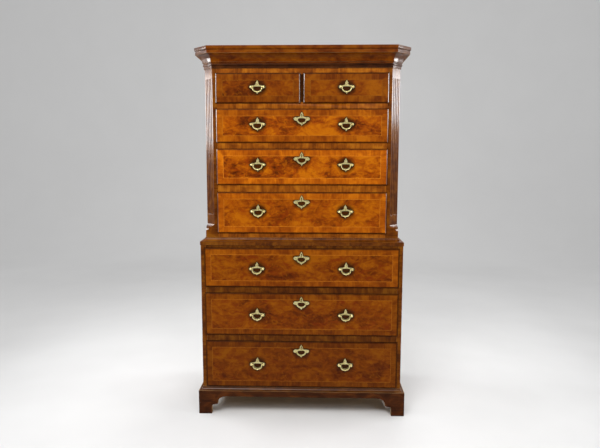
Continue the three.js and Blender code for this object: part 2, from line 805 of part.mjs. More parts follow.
const bottomDrawerTop = bottomDrawerLow + bottomDrawerHeight;
const middleDrawerTop = middleDrawerLow + middleDrawerHeight;
const fourthDrawerTop = fourthDrawerLow + fourthDrawerHeight;
const fifthDrawerTop = fifthDrawerLow + fifthDrawerHeight;
const sixthDrawerTop = sixthDrawerLow + sixthDrawerHeight;
const lowerFloor = bottomBoard(lower, lowerCarcaseBottom, bottomDrawerLow + lipOverlap);
const upperFloor = bottomBoard(upper, upperCarcaseBottom, fourthDrawerLow + lipOverlap);

place('bracket_base', bracketBase(), walnutDark());
place('lower_bottom_board', lowerFloor, secondaryWood());
placeDivider('lower_divider_2', lower, bottomDrawerTop, middleDrawerLow, []);
placeDivider('lower_divider_1', lower, middleDrawerTop, thirdDrawerLow, []);
place('lower_top', lowerTop(), walnutCase());
place('lower_back_boards', backPanel(lower, lowerCarcaseBottom, lowerCarcaseTop), secondaryWood());
place('upper_bottom_board', upperFloor, secondaryWood());
placeDivider('upper_divider_3', upper, fourthDrawerTop, fifthDrawerLow, []);
placeDivider('upper_divider_2', upper, fifthDrawerTop, sixthDrawerLow, []);
placeDivider('upper_divider_1', upper, sixthDrawerTop, shortDrawerLow, [muntin()]);
place('cornice', cornice(), walnutCase());
const upperBackTop = topBoardUnderside - seatGap;
place('upper_back_boards', backPanel(upper, upperCarcaseBottom, upperBackTop), secondaryWood());

export default chest;
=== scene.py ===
import math

import bmesh
import bpy
from mathutils import Matrix, Vector
from mathutils.geometry import tessellate_polygon


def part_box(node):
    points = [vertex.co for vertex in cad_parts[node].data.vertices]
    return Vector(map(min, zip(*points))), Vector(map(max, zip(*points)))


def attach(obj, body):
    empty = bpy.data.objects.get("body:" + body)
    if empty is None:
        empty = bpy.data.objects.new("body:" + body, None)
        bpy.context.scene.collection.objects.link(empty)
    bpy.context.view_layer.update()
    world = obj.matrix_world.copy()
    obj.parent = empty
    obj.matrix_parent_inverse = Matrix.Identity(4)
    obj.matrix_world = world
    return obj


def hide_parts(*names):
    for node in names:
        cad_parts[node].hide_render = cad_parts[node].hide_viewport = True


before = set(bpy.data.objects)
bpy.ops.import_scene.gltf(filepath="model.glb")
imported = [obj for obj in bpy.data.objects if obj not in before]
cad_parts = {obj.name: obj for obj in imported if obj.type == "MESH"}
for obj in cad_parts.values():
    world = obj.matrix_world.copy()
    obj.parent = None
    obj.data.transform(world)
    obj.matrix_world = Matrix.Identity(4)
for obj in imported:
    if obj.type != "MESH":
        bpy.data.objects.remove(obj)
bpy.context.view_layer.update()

# The dressed chest on chest: veneers, banding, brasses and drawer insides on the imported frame.
# Metres, Z up, the drawers face -Y.

# Sizes that the dressed pieces share with the frame
SEAT = 0.0003
LIP_STAND = 0.007
LIP_EDGE = 0.006
BODY_INSET = 0.0066
BODY_DEPTH = 0.017
BOX_INSET = 0.0065
BOX_SIDE = 0.01
BOX_RISE = 0.0053
BOX_BOTTOM_RISE = 0.008
BOX_BOTTOM = 0.008
BOX_TOP_DROP = 0.009
BOX_BACK_DROP = 0.012
POST_HALF_SPACING = 0.031
PLATE_HALF_WIDTH = 0.04
PLATE_HALF_HEIGHT = 0.034
PLATE_THICKNESS = 0.0024
PLATE_CHAMFER = 0.0013
PIVOT_REACH = 0.011
POST_REACH = 0.016
BAIL_RADIUS = 0.0023
BAIL_DROP = 0.024
BAIL_LEG = 0.0227
PIN_RADIUS = 0.0017
PIN_END = 0.0286

X, Y, Z = range(3)
X_AXIS, Y_AXIS, Z_AXIS = (Vector(row) for row in Matrix.Identity(3))


def shares(steps):
    """From 0 to 1 in equal steps"""
    return [i / steps for i in range(steps + 1)]


def middle(node):
    """X and Z of the middle of a node's box"""
    lo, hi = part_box(node)
    return (lo.x + hi.x) / 2, (lo.z + hi.z) / 2


# Colours from dark to light, linear
WALNUT_DARK = (0.058, 0.01, 0.0008)
WALNUT_GOLD = (0.52, 0.14, 0.002)
WALNUT_RED = (0.3, 0.04, 0.0012)
BURR_COLOURS = [WALNUT_DARK, (0.195, 0.034, 0.001), (0.345, 0.071, 0.0012), WALNUT_GOLD]
BAND_COLOURS = [(0.19, 0.036, 0.001), (0.3, 0.068, 0.0014), (0.42, 0.112, 0.0025)]
RAIL_COLOURS = [(0.13, 0.03, 0.0025), (0.25, 0.064, 0.0035), (0.39, 0.125, 0.007)]
SIDE_COLOURS = [(0.085, 0.022, 0.003), (0.135, 0.036, 0.0045), (0.205, 0.062, 0.008)]
BASE_COLOURS = [(0.031, 0.0078, 0.0016), (0.058, 0.0145, 0.0026), (0.112, 0.03, 0.0045)]
OAK_COLOURS = [(0.26, 0.15, 0.065), (0.37, 0.235, 0.11), (0.47, 0.32, 0.165)]
PINE_COLOURS = [(0.24, 0.135, 0.055), (0.34, 0.205, 0.088), (0.44, 0.285, 0.13)]
BACK_COLOURS = [(0.15, 0.086, 0.04), (0.235, 0.14, 0.066), (0.33, 0.21, 0.105)]
CORE_COLOURS = [(0.1, 0.048, 0.018), (0.16, 0.08, 0.03), (0.235, 0.125, 0.05)]
STRING_COLOURS = [(0.4, 0.115, 0.006), (0.58, 0.19, 0.014)]
BRASS_COLOURS = [(0.42, 0.31, 0.09), (0.82, 0.69, 0.29), (0.98, 0.89, 0.47)]
IRON_COLOURS = [(0.1, 0.085, 0.075), (0.24, 0.2, 0.17), (0.22, 0.11, 0.05)]
WAX_AND_SHADE_COLOURS = [(0.008, 0.004, 0.0016), (0.014, 0.006, 0.002), (0.026, 0.01, 0.003)]
HOLE_COLOURS = [(0.004, 0.003, 0.002), (0.012, 0.008, 0.005)]
# Old wax and painted shade round the brasses
GRIME_AND_SHADE = (0.03, 0.0085, 0.001)
NAIL_RUST = (0.045, 0.026, 0.014)
NAIL_HEAD = (0.03, 0.024, 0.02)

# Where the colours sit on their ramps
BURR_STOPS = (0.345, 0.44, 0.51, 0.595)
VENEER_STOPS = (0.4, 0.5, 0.6)
SIDE_STOPS = (0.38, 0.5, 0.62)
RAW_STOPS = (0.36, 0.5, 0.66)
STRING_STOPS = (0.35, 0.65)
BRASS_STOPS = (0.36, 0.5, 0.64)
IRON_STOPS = (0.38, 0.62, 0.72)
HOLE_STOPS = (0.3, 0.8)

# Noises: scale, detail, roughness, distortion
NOISES = {
    "fine_grain": (672, 2, 0.6, 0),
    "burr_cloud": (6.5, 3, 0.55, 1.3),
    "burr_swirl": (16, 5, 0.56, 2),
    "burr_patch": (11, 4, 0.55, 1.4),
    "burr_grain": (420, 2, 0.6, 0.3),
    "burr_broad": (5, 1, 0.5, 0.6),
    "burr_flush": (15, 3, 0.6, 1.4),
    "burr_cluster": (9, 2, 0.5, 0.5),
    "burr_flame": (26, 4, 0.6, 1.8),
    "veneer_streak": (150, 4, 0.6, 0.4),
    "veneer_figure": (34, 3, 0.55, 1.2),
    "veneer_cloud": (16, 3, 0.55, 0.8),
    "veneer_swell": (46, 2, 0.5, 0.5),
    "side_arch": (16, 3, 0.5, 0.7),
    "side_streak": (130, 4, 0.6, 0.3),
    "side_cloud": (5, 3, 0.5, 0.5),
    "raw_streak": (90, 5, 0.65, 0.6),
    "raw_cloud": (7, 3, 0.5, 0.3),
    "string_tint": (120, 3, 0.6, 0),
    "brass_stain": (160, 4, 0.6, 0.6),
    "brass_wear": (900, 3, 0.55, 0),
    "iron_rust": (210, 5, 0.65, 0.8),
    "hole_speck": (700, 2, 0.5, 0),
    "floor_tint": (2, 2, 0.5, 0),
}

WOOD_POLISH = 0.36
WOOD_SPECULAR = 0.07
GRAIN_RELIEF = 0.0002
WAVE_RELIEF = 0.002
RAW_RELIEF = 0.0004
BRASS_RELIEF = 0.0001
BURR_FLATTEN = 1.6
EYE_SCALE = 70.0
SIDE_LEAF = 0.168
SIDE_RINGS = 46.0
NAIL_PITCH = 0.071
NAIL_RADIUS = 0.0024
NAIL_STAIN = 0.0095
NAIL_EDGE = 0.022
# Reach and strength of the dark old wax and painted shade round each brass
GRIME_AND_SHADE_START = 0.78
GRIME_AND_SHADE_REACH = 1.3
GRIME_AND_SHADE_SHARE = 0.92


# Materials
def stops(places, colours, tone=1.0):
    """Ramp stops, their colours times a tone"""
    return [(place, toned(colour, tone)) for place, colour in zip(places, colours)]


def toned(colour, tone):
    return tuple(channel * tone for channel in colour)


def stretched(axis, factor):
    """A scale that draws a noise out along one axis, or squeezes it there"""
    scale = [1.0, 1.0, 1.0]
    scale[axis] = factor
    return tuple(scale)


class Recipe:
    """A material whose nodes are set out by short calls"""

    def __init__(self, name, roughness, metallic=0.0, specular=0.5, coat=0.0,
                 coat_roughness=0.15, coat_ior=1.5):
        self.material = bpy.data.materials.new(name)
        self.material.use_nodes = True
        self.tree = self.material.node_tree
        self.shader = next(n for n in self.tree.nodes if n.type == "BSDF_PRINCIPLED")
        for socket, value in (("Roughness", roughness), ("Metallic", metallic),
                              ("Specular IOR Level", specular), ("Coat Weight", coat),
                              ("Coat Roughness", coat_roughness), ("Coat IOR", coat_ior)):
            self.shader.inputs[socket].default_value = value

    def feed(self, socket, value):
        if isinstance(value, bpy.types.NodeSocket):
            self.tree.links.new(value, socket)
        else:
            socket.default_value = value

    def node(self, kind, inputs, **settings):
        node = self.tree.nodes.new("ShaderNode" + kind)
        for key, value in settings.items():
            setattr(node, key, value)
        for key, value in inputs.items():
            self.feed(node.inputs[key], value)
        return node

    def math(self, operation, a, b=0.0, clamp=False):
        inputs = {0: a, 1: b}
        return self.node("Math", inputs, operation=operation, use_clamp=clamp).outputs[0]

    def add(self, a, b):
        return self.math("ADD", a, b)

    def minus(self, a, b):
        return self.math("SUBTRACT", a, b)

    def times(self, a, b):
        return self.math("MULTIPLY", a, b)

    def weighted(self, *pairs):
        """The sum of pairs of a value and its weight"""
        total = self.times(*pairs[0])
        for pair in pairs[1:]:
            total = self.add(total, self.times(*pair))
        return total

    def swing(self, value, centre, strength):
        """How far a value is from its centre, times a strength"""
        return self.times(self.minus(value, centre), strength)

    def reach(self, a, b):
        """The length of a step of a and b at right angles"""
        return self.math("SQRT", self.add(self.times(a, a), self.times(b, b)))

    def spread(self, value, low, high):
        """Zero up to low and one from high"""
        inputs = {"Value": value, "From Min": low, "From Max": high}
        return self.node("MapRange", inputs, clamp=True).outputs[0]

    def fade(self, value, low, high):
        """One up to low and zero from high"""
        return self.math("SUBTRACT", 1.0, self.spread(value, low, high), clamp=True)

    def coords(self):
        return self.node("TexCoord", {}).outputs["Object"]

    def split(self, vector):
        return list(self.node("SeparateXYZ", {0: vector}).outputs)

    def joined(self, x, y, z):
        return self.node("CombineXYZ", {0: x, 1: y, 2: z}).outputs[0]

    def mapped(self, vector, offset=(0.0, 0.0, 0.0), scale=(1.0, 1.0, 1.0)):
        inputs = {"Vector": vector, "Location": offset, "Scale": scale}
        return self.node("Mapping", inputs).outputs[0]

    def noise(self, vector, kind):
        inputs = dict(zip(("Scale", "Detail", "Roughness", "Distortion"), NOISES[kind]))
        return self.node("TexNoise", {"Vector": vector, **inputs}).outputs[0]

    def drawn(self, kind, axis=Z, factor=1.0):
        """A noise of the whole wood, drawn out along an axis"""
        wood = self.mapped(self.wood, self.offset, stretched(axis, factor))
        return self.noise(wood, kind)

    def leaf_chance(self, place, width):
        """A value of its own for each leaf of veneer"""
        step = self.math("FLOOR", self.math("DIVIDE", place, width))
        return self.node("TexWhiteNoise", {"W": step}, noise_dimensions="1D").outputs["Value"]

    def ramp(self, factor, stops):
        node = self.node("ValToRGB", {0: factor})
        elements = node.color_ramp.elements
        while len(elements) < len(stops):
            elements.new(1.0)
        for element, (position, colour) in zip(elements, stops):
            element.position = position
            element.color = (*colour, 1.0)
        return node.outputs[0]

    def over(self, under, factor, colour):
        """A plain colour laid over another by a factor"""
        inputs = {0: factor, 6: under, 7: (*colour, 1.0)}
        return self.node("Mix", inputs, data_type="RGBA").outputs[2]

    def colour(self, value):
        self.feed(self.shader.inputs["Base Color"], value)

    def tinted(self, kind, *ramp):
        """Colours the material by one noise"""
        tint = self.noise(self.coords(), kind)
        self.colour(self.ramp(tint, stops(*ramp)))
        return tint

    def bump(self, height, strength, distance):
        inputs = {"Height": height, "Strength": strength, "Distance": distance}
        self.feed(self.shader.inputs["Normal"], self.node("Bump", inputs).outputs[0])

    def rough(self, value, low, high):
        inputs = {"Value": value, "To Min": low, "To Max": high}
        self.feed(self.shader.inputs["Roughness"],
                  self.node("MapRange", inputs, clamp=True).outputs[0])


def burr(name, centre, seed, brasses, tone, figure, slow, drift, blush):
    """Figured walnut, matched about the drawer's middle, with dark old wax and painted shade round
    the brasses
    """
    r = Recipe(name, WOOD_POLISH, specular=WOOD_SPECULAR)
    x, y, z = r.split(r.coords())
    across = r.math("ABSOLUTE", r.minus(x, centre))
    flatten = stretched(Z, BURR_FLATTEN)
    leaf = r.mapped(r.joined(across, y, z), (seed * 1.7, seed * 0.9, seed * 2.3), flatten)
    whole = r.mapped(r.coords(), (seed * 3.1, 0.0, seed * 1.3), flatten)
    grain = r.noise(r.mapped(leaf, scale=stretched(Z, 0.22)), "burr_grain")
    shade = r.weighted((r.noise(leaf, "burr_cloud"), 0.34), (r.noise(leaf, "burr_swirl"), 0.34),
                       (r.noise(whole, "burr_patch"), 0.24), (grain, 0.08))
    shade = r.add(0.5, r.swing(shade, 0.485, figure))
    shade = r.add(shade, r.swing(r.noise(whole, "burr_broad"), 0.5, slow))
    shade = r.add(shade, r.times(x, drift))
    colour = r.ramp(shade, stops(BURR_STOPS, BURR_COLOURS, tone))
    flush = r.spread(r.noise(whole, "burr_flush"), 0.5, 0.72)
    eyes = r.node("TexVoronoi", {"Vector": leaf, "Scale": EYE_SCALE, "Randomness": 1.0})
    knot = r.fade(eyes.outputs["Distance"], 0.08, 0.32)
    cluster = r.spread(r.noise(leaf, "burr_cluster"), 0.5, 0.64)
    flame = r.spread(r.noise(whole, "burr_flame"), 0.53, 0.7)
    for factor, weight, layer in ((flush, blush, WALNUT_RED),
                                  (r.times(knot, cluster), 0.28, WALNUT_DARK),
                                  (flame, 0.6, WALNUT_GOLD)):
        colour = r.over(colour, r.times(factor, weight), toned(layer, tone))
    # Darkens the veneer round each brass: partly old wax, partly painted shade
    grime_and_shade = 0.0
    for out, level in brasses:
        beside = r.math("DIVIDE", r.minus(across, out), PLATE_HALF_WIDTH)
        above = r.math("DIVIDE", r.minus(z, level), PLATE_HALF_HEIGHT)
        near = r.fade(r.reach(beside, above), GRIME_AND_SHADE_START, GRIME_AND_SHADE_REACH)
        grime_and_shade = r.math("MAXIMUM", grime_and_shade, near)
    r.colour(r.over(colour, r.times(grime_and_shade, GRIME_AND_SHADE_SHARE), GRIME_AND_SHADE))
    r.rough(grain, 0.29, 0.44)
    r.bump(grain, 0.12, GRAIN_RELIEF)
    return r.material


def veneer(name, colours, grain, joint, seed, tone=1.0, joint_width=0.05, gloss=WOOD_POLISH,
           specular=WOOD_SPECULAR, waviness=0.0, **coat):
    """Straight veneer: grain is the axis it runs along, joint the axis its short leaves follow"""
    r = Recipe(name, gloss, specular=specular, **coat)
    r.wood, r.offset = r.coords(), (seed * 2.1, seed * 1.1, seed * 0.7)
    fine = r.drawn("fine_grain", grain, 0.06)
    shade = r.weighted((r.drawn("veneer_streak", grain, 0.06), 0.16),
                       (r.drawn("veneer_figure", grain, 0.16), 0.28),
                       (r.drawn("veneer_cloud"), 0.46), (fine, 0.1))
    if joint is not None:
        chance = r.leaf_chance(r.split(r.wood)[joint], joint_width)
        shade = r.add(shade, r.swing(chance, 0.5, 0.07))
    r.colour(r.ramp(shade, stops(VENEER_STOPS, colours, tone)))
    r.rough(fine, gloss - 0.06, gloss + 0.08)
    if waviness > 0.0:
        r.bump(r.drawn("veneer_swell", Z, 0.35), waviness, WAVE_RELIEF)
    else:
        r.bump(fine, 0.1, GRAIN_RELIEF)
    return r.material


def crossgrain(name, grain, joint, seed, tone, width, **finish):
    """Short leaves laid side by side along a rail, stile or moulding"""
    return veneer(f"{name}_crossgrain", RAIL_COLOURS, grain, joint, seed, tone=tone,
                  joint_width=width, **finish)


def side_wood(name, seed):
    """Upright walnut veneer in broad leaves with long, quiet figure"""
    r = Recipe(name, WOOD_POLISH, specular=WOOD_SPECULAR)
    r.wood, r.offset = r.coords(), (seed, seed * 1.3, seed * 0.4)
    cloud = r.drawn("side_cloud", Z, 0.6)
    x, y, z = r.split(r.wood)
    r.wood = r.joined(x, y, r.add(z, r.leaf_chance(y, SIDE_LEAF)))
    rings = r.math("SINE", r.times(r.drawn("side_arch", Z, 0.13), SIDE_RINGS))
    fine = r.drawn("fine_grain", Z, 0.05)
    shade = r.weighted((rings, 0.035), (r.drawn("side_streak", Z, 0.03), 0.42), (cloud, 0.42),
                       (fine, 0.16))
    r.colour(r.ramp(shade, stops(SIDE_STOPS, SIDE_COLOURS)))
    r.rough(fine, 0.32, 0.46)
    r.bump(fine, 0.1, GRAIN_RELIEF)
    return r.material


def raw_wood(name, colours, grain, seed, nails=(), specular=0.3):
    """Unpolished wood; nails holds the levels in Z of iron nails that have stained it"""
    r = Recipe(name, 0.72, specular=specular)
    r.wood, r.offset = r.coords(), (seed, seed * 0.6, seed * 1.9)
    streak = r.drawn("raw_streak", grain, 0.05)
    shade = r.weighted((streak, 0.7), (r.drawn("raw_cloud"), 0.3))
    colour = r.ramp(shade, stops(RAW_STOPS, colours))
    if nails:
        x, _, z = r.split(r.wood)
        turn = r.math("FRACT", r.math("DIVIDE", x, NAIL_PITCH))
        aside = r.swing(turn, 0.5, NAIL_PITCH)
        nearest = 1.0
        for level in nails:
            nearest = r.math("MINIMUM", nearest, r.reach(aside, r.minus(z, level)))
        stain = r.fade(nearest, NAIL_RADIUS, NAIL_STAIN)
        colour = r.over(colour, r.times(stain, 0.55), NAIL_RUST)
        colour = r.over(colour, r.math("LESS_THAN", nearest, NAIL_RADIUS), NAIL_HEAD)
    r.colour(colour)
    r.bump(streak, 0.35, RAW_RELIEF)
    return r.material


def back_nails(node):
    """Levels of the nails through a set of back boards"""
    lo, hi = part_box(node)
    return [lo.z + NAIL_EDGE, (lo.z + hi.z) / 2, hi.z - NAIL_EDGE]


def inlay_string(name, tone):
    r = Recipe(name, WOOD_POLISH, specular=WOOD_SPECULAR)
    r.tinted("string_tint", STRING_STOPS, STRING_COLOURS, tone)
    return r.material


def old_brass(name, tone):
    r = Recipe(name, 0.34, metallic=0.45)
    wear = r.noise(r.coords(), "brass_wear")
    r.tinted("brass_stain", BRASS_STOPS, BRASS_COLOURS, tone)
    r.rough(wear, 0.26, 0.46)
    r.bump(wear, 0.1, BRASS_RELIEF)
    return r.material


def old_iron(name):
    r = Recipe(name, 0.5, metallic=0.9)
    rust = r.tinted("iron_rust", IRON_STOPS, IRON_COLOURS)
    r.bump(rust, 0.3, GRAIN_RELIEF)
    return r.material


def keyhole_dark(name):
    r = Recipe(name, 0.8, specular=0.1)
    r.tinted("hole_speck", HOLE_STOPS, HOLE_COLOURS)
    return r.material


BRASS = old_brass("brass_old", 1.0)
BRASS_DULL = old_brass("brass_tarnished", 0.7)
# Plate brass darkened by tarnish and painted shade, behind the bail and by the posts
BRASS_TARNISH_AND_SHADE = old_brass("brass_tarnish_and_shade", 0.34)
# Old wax and painted shade, for the dark lines round the drawer lips, the brasses and their posts
WAX_DIRT_AND_SHADE = raw_wood("old_wax_and_painted_shade", WAX_AND_SHADE_COLOURS, X, 4.4, specular=0.05)
IRON = old_iron("iron_lock")
KEYHOLE = keyhole_dark("keyhole_shadow")
RAIL = crossgrain("rail", Z, X, 3.0, 0.95, 0.036)
# The lower chest's rails are darker than the upper ones: partly their own colour, partly painted
# shade towards the floor
LOWER_RAIL = crossgrain("lower_rail", Z, X, 5.0, 0.4, 0.04)
STILE = crossgrain("stile", X, Z, 9.0, 0.5, 0.058)
UPPER_STILE = crossgrain("upper_stile", X, Z, 9.5, 0.55, 0.058)
MUNTIN = crossgrain("muntin", X, Z, 5.5, 0.22, 0.058)
WAIST = crossgrain("waist", Z, X, 7.5, 0.47, 0.06, gloss=0.3, specular=0.14)
SIDE_WAIST = crossgrain("side_waist", Z, Y, 8.5, 0.52, 0.06, gloss=0.3, specular=0.3)
SIDE_MOULDING = crossgrain("side_moulding", Z, Y, 8.0, 0.5, 0.09)
SIDE = side_wood("side_longgrain", 4.0)
CANT = veneer("cant_polished", RAIL_COLOURS, Z, None, 6.0, tone=0.4, gloss=0.4, specular=0.1,
              waviness=0.16, coat=1.0, coat_roughness=0.17)
CORNICE_CANT = veneer("cornice_cant", RAIL_COLOURS, Z, None, 6.5, tone=0.35, specular=0.5,
                      waviness=0.5, coat=0.6)
MOULDING = burr("moulding_figured", 0.0, 21.0, [], tone=0.38, figure=0.9, slow=0.2, drift=0.0,
                blush=0.55)
BEAD = veneer("bead_dark", BASE_COLOURS, X, None, 3.3, tone=0.62, specular=0.06)
BASE = veneer("base_walnut", BASE_COLOURS, X, None, 2.0, tone=0.9)
SIDE_BASE = veneer("side_base_walnut", BASE_COLOURS, Y, None, 2.5, tone=0.9)
BASE_MOULDING = veneer("base_moulding", RAIL_COLOURS, X, None, 2.8, tone=0.28, gloss=0.3,
                       specular=0.3)
SIDE_BASE_MOULDING = veneer("side_base_moulding", RAIL_COLOURS, Y, None, 2.9, tone=0.28,
                            gloss=0.3, specular=0.3)
OAK = raw_wood("oak_lining", OAK_COLOURS, Y, 1.0)
OAK_ACROSS = raw_wood("oak_lining_across", OAK_COLOURS, X, 1.4)
PINE = raw_wood("pine_board", PINE_COLOURS, X, 2.0)
PINE_UPRIGHT = raw_wood("pine_board_upright", PINE_COLOURS, Z, 2.6)
FRONT_CORE = raw_wood("drawer_front_core", CORE_COLOURS, X, 5.1)
LOWER_BACK = raw_wood("lower_back_board", BACK_COLOURS, Z, 2.9, back_nails("lower_back_boards"))
UPPER_BACK = raw_wood("upper_back_board", BACK_COLOURS, Z, 3.7, back_nails("upper_back_boards"))


# Meshes
CURVE_PROFILE = 0.6
BOX_ARRIS_ANGLE = 35.0
PIECE_ARRIS_ANGLE = 50.0
PIECE_ARRIS = 0.0009
# Angles between faces, in degrees, above which an edge shows sharp
SHARP = 38.0
FRONT_SHARP = 30.0
BRASS_SHARP = 45.0
POST_SHARP = 40.0
# How near two corners count as one, and how flat two faces as one
SAME_POINT = 0.000002
SAME_PLANE = 0.4


def eased(bm, edges, width, angle):
    """Rounds those of the edges that turn by more than an angle in degrees"""
    sharp = [e for e in edges if e.calc_face_angle(0.0) > math.radians(angle)]
    bmesh.ops.bevel(bm, geom=sharp, offset=width, segments=2, profile=CURVE_PROFILE,
                    affect="EDGES", clamp_overlap=True, material=-1)


def in_turn(items):
    """Each item with the next, and the last with the first"""
    return zip(items, items[1:] + items[:1])


def circle(centre, first, second, radius, steps):
    """Points round a centre in the plane of two directions"""
    turns = [2 * math.pi * share for share in shares(steps)[:-1]]
    return [centre + (first * math.cos(turn) + second * math.sin(turn)) * radius
            for turn in turns]


class Shape:
    """Closed shells gathered in one mesh, each face with a material number"""

    def __init__(self):
        self.bm = bmesh.new()

    def face(self, verts, material):
        made = self.bm.faces.new(verts)
        made.material_index = material
        return made

    def loop(self, points, y):
        return [self.bm.verts.new((x, y, z)) for x, z in points]

    def filled(self, loops, material):
        """Triangles over loops of vertices in a plane y = constant, the outline first"""
        polygons = [[Vector((v.co.x, v.co.z, 0.0)) for v in loop] for loop in loops]
        verts = sum(loops, [])
        return [self.face([verts[i] for i in indices], material)
                for indices in tessellate_polygon(polygons)]

    def band(self, low, high, *numbers):
        """Faces between two loops; material numbers take turns round them"""
        return [self.face((a, b, d, c), numbers[i % len(numbers)])
                for i, ((a, b), (c, d)) in enumerate(zip(in_turn(low), in_turn(high)))]

    def rings(self, rings, materials, cap_first=None, cap_last=None):
        """Joins rings of equal point count; materials holds a number, or numbers that take turns
        round the ring, for each joined band"""
        verts = [[self.bm.verts.new(p) for p in ring] for ring in rings]
        for low, high, material in zip(verts, verts[1:], materials):
            self.band(low, high, *(material if isinstance(material, tuple) else (material,)))
        if cap_first is not None:
            self.face(list(reversed(verts[0])), cap_first)
        if cap_last is not None:
            self.face(verts[-1], cap_last)
        return verts

    def solid(self, rings, material):
        """A closed shell of one material through the rings"""
        return self.rings(rings, [material] * (len(rings) - 1), material, material)

    def prism(self, outline, axis, low, high, material, bevel):
        """An outline in the two other axes, given thickness along axis"""
        rings = [[(*p[:axis], level, *p[axis:]) for p in outline] for level in (low, high)]
        verts = sum(self.solid(rings, material), [])
        eased(self.bm, {e for v in verts for e in v.link_edges}, bevel, BOX_ARRIS_ANGLE)

    def box(self, lo, hi, material, bevel):
        outline = [(lo[X], lo[Y]), (hi[X], lo[Y]), (hi[X], hi[Y]), (lo[X], hi[Y])]
        self.prism(outline, Z, lo[Z], hi[Z], material, bevel)

    def plate(self, loops, y_back, y_front, material, rim_material=0, bevel=0.0, part=None):
        """Loops of (x, z), the outline first, given thickness along Y; part is a material and a
        test of the faces that have it"""
        back, front = ([self.loop(loop, y) for loop in loops] for y in (y_back, y_front))
        made = self.filled(front, material) + self.filled(back, material)
        rim = []
        for back_loop, front_loop in zip(back, front):
            made += self.band(front_loop, back_loop, material)
            rim += in_turn(front_loop)
        if part is not None:
            number, test = part
            for face in made:
                if test(face.calc_center_median()):
                    face.material_index = number
        if bevel > 0.0:
            edges = [self.bm.edges.get(pair) for pair in rim]
            bmesh.ops.bevel(self.bm, geom=edges, offset=bevel, segments=3, profile=0.5,
                            affect="EDGES", clamp_overlap=True, material=rim_material)

    def lathe(self, profile, base, direction, steps, material=0):
        """A profile of (radius, height) turned about a line from base"""
        axis = Vector(direction).normalized()
        side = axis.orthogonal().normalized()
        up = axis.cross(side)
        self.solid([circle(Vector(base) + axis * height, side, up, radius, steps)
                    for radius, height in profile], material)

    def tube(self, path, radii, sides, material=0):
        """A round bar along a path in a plane y = constant"""
        rings = []
        for i, point in enumerate(path):
            before = path[max(i - 1, 0)]
            after = path[min(i + 1, len(path) - 1)]
            out = (Vector(after) - Vector(before)).normalized().cross(Y_AXIS)
            rings.append(circle(Vector(point), out, Y_AXIS, radii[i], sides))
        self.solid(rings, material)

    def finish(self, name, materials, body, slot, replaces=(), sharp=SHARP):
        bmesh.ops.recalc_face_normals(self.bm, faces=self.bm.faces)
        shown(self.bm, name, materials, body, replaces, sharp)


def placed(name, data):
    made = bpy.data.objects.new(name, data)
    bpy.context.scene.collection.objects.link(made)
    return made


def shown(bm, name, materials, body, replaces, sharp):
    """The mesh as an object on its body, with edges sharper than an angle kept sharp"""
    mesh = bpy.data.meshes.new(name)
    bm.to_mesh(mesh)
    bm.free()
    for material in materials:
        mesh.materials.append(material)
    mesh.shade_smooth()
    mesh.set_sharp_from_angle(angle=math.radians(sharp))
    made = placed(name, mesh)
    weighted = made.modifiers.new("weighted_normals", "WEIGHTED_NORMAL")
    weighted.keep_sharp = True
    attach(made, body)
    if replaces:
        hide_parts(*replaces)


def refined(node, slot, materials, choose, bevel=PIECE_ARRIS, levels=()):
    """A carcase piece with its arrises eased and its faces veneered, in its frame node's place;
    choose gives a face's material number, and levels are heights where it is cut in two"""
    bm = bmesh.new()
    bm.from_mesh(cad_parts[node].data)
    bmesh.ops.remove_doubles(bm, verts=bm.verts, dist=SAME_POINT)
    bmesh.ops.dissolve_limit(bm, angle_limit=math.radians(SAME_PLANE), verts=bm.verts,
                             edges=bm.edges)
    for level in levels:
        bmesh.ops.bisect_plane(bm, geom=[*bm.verts, *bm.edges, *bm.faces],
                               plane_co=Z_AXIS * level, plane_no=Z_AXIS)
    for face in bm.faces:
        face.material_index = choose(face.calc_center_median(), face.normal)
    eased(bm, [e for e in bm.edges if e.is_manifold], bevel, PIECE_ARRIS_ANGLE)
    shown(bm, f"{node}_dressed", materials, "carcase", (node,), SHARP)


def rectangle(lo, hi, inset, y):
    """The front outline of a box, drawn in by an inset"""
    x0, x1, z0, z1 = lo.x + inset, hi.x - inset, lo.z + inset, hi.z - inset
    return [(x0, y, z0), (x1, y, z0), (x1, y, z1), (x0, y, z1)]


KEYHOLE_RADIUS = 0.003
KEYHOLE_SLOT = 0.0032
KEYHOLE_LENGTH = 0.015
KEYHOLE_UP = 0.008
KEYHOLE_DEPTH = 0.012
KEYHOLE_STEPS = 12
KEYHOLE_ROOM = 0.0004


def keyhole_loop(x, z, grow=0.0):
    """Round head over a slot, as a loop of (x, z)"""
    radius = KEYHOLE_RADIUS + grow
    half = KEYHOLE_SLOT / 2 + grow
    foot = z + KEYHOLE_UP - grow
    centre = z + KEYHOLE_UP + KEYHOLE_LENGTH - KEYHOLE_RADIUS
    lean = math.asin(half / radius)
    loop = [(x - half, foot), (x + half, foot)]
    for share in shares(KEYHOLE_STEPS):
        angle = lean - math.pi / 2 + (2 * math.pi - 2 * lean) * share
        loop.append((x + radius * math.cos(angle), centre + radius * math.sin(angle)))
    return loop


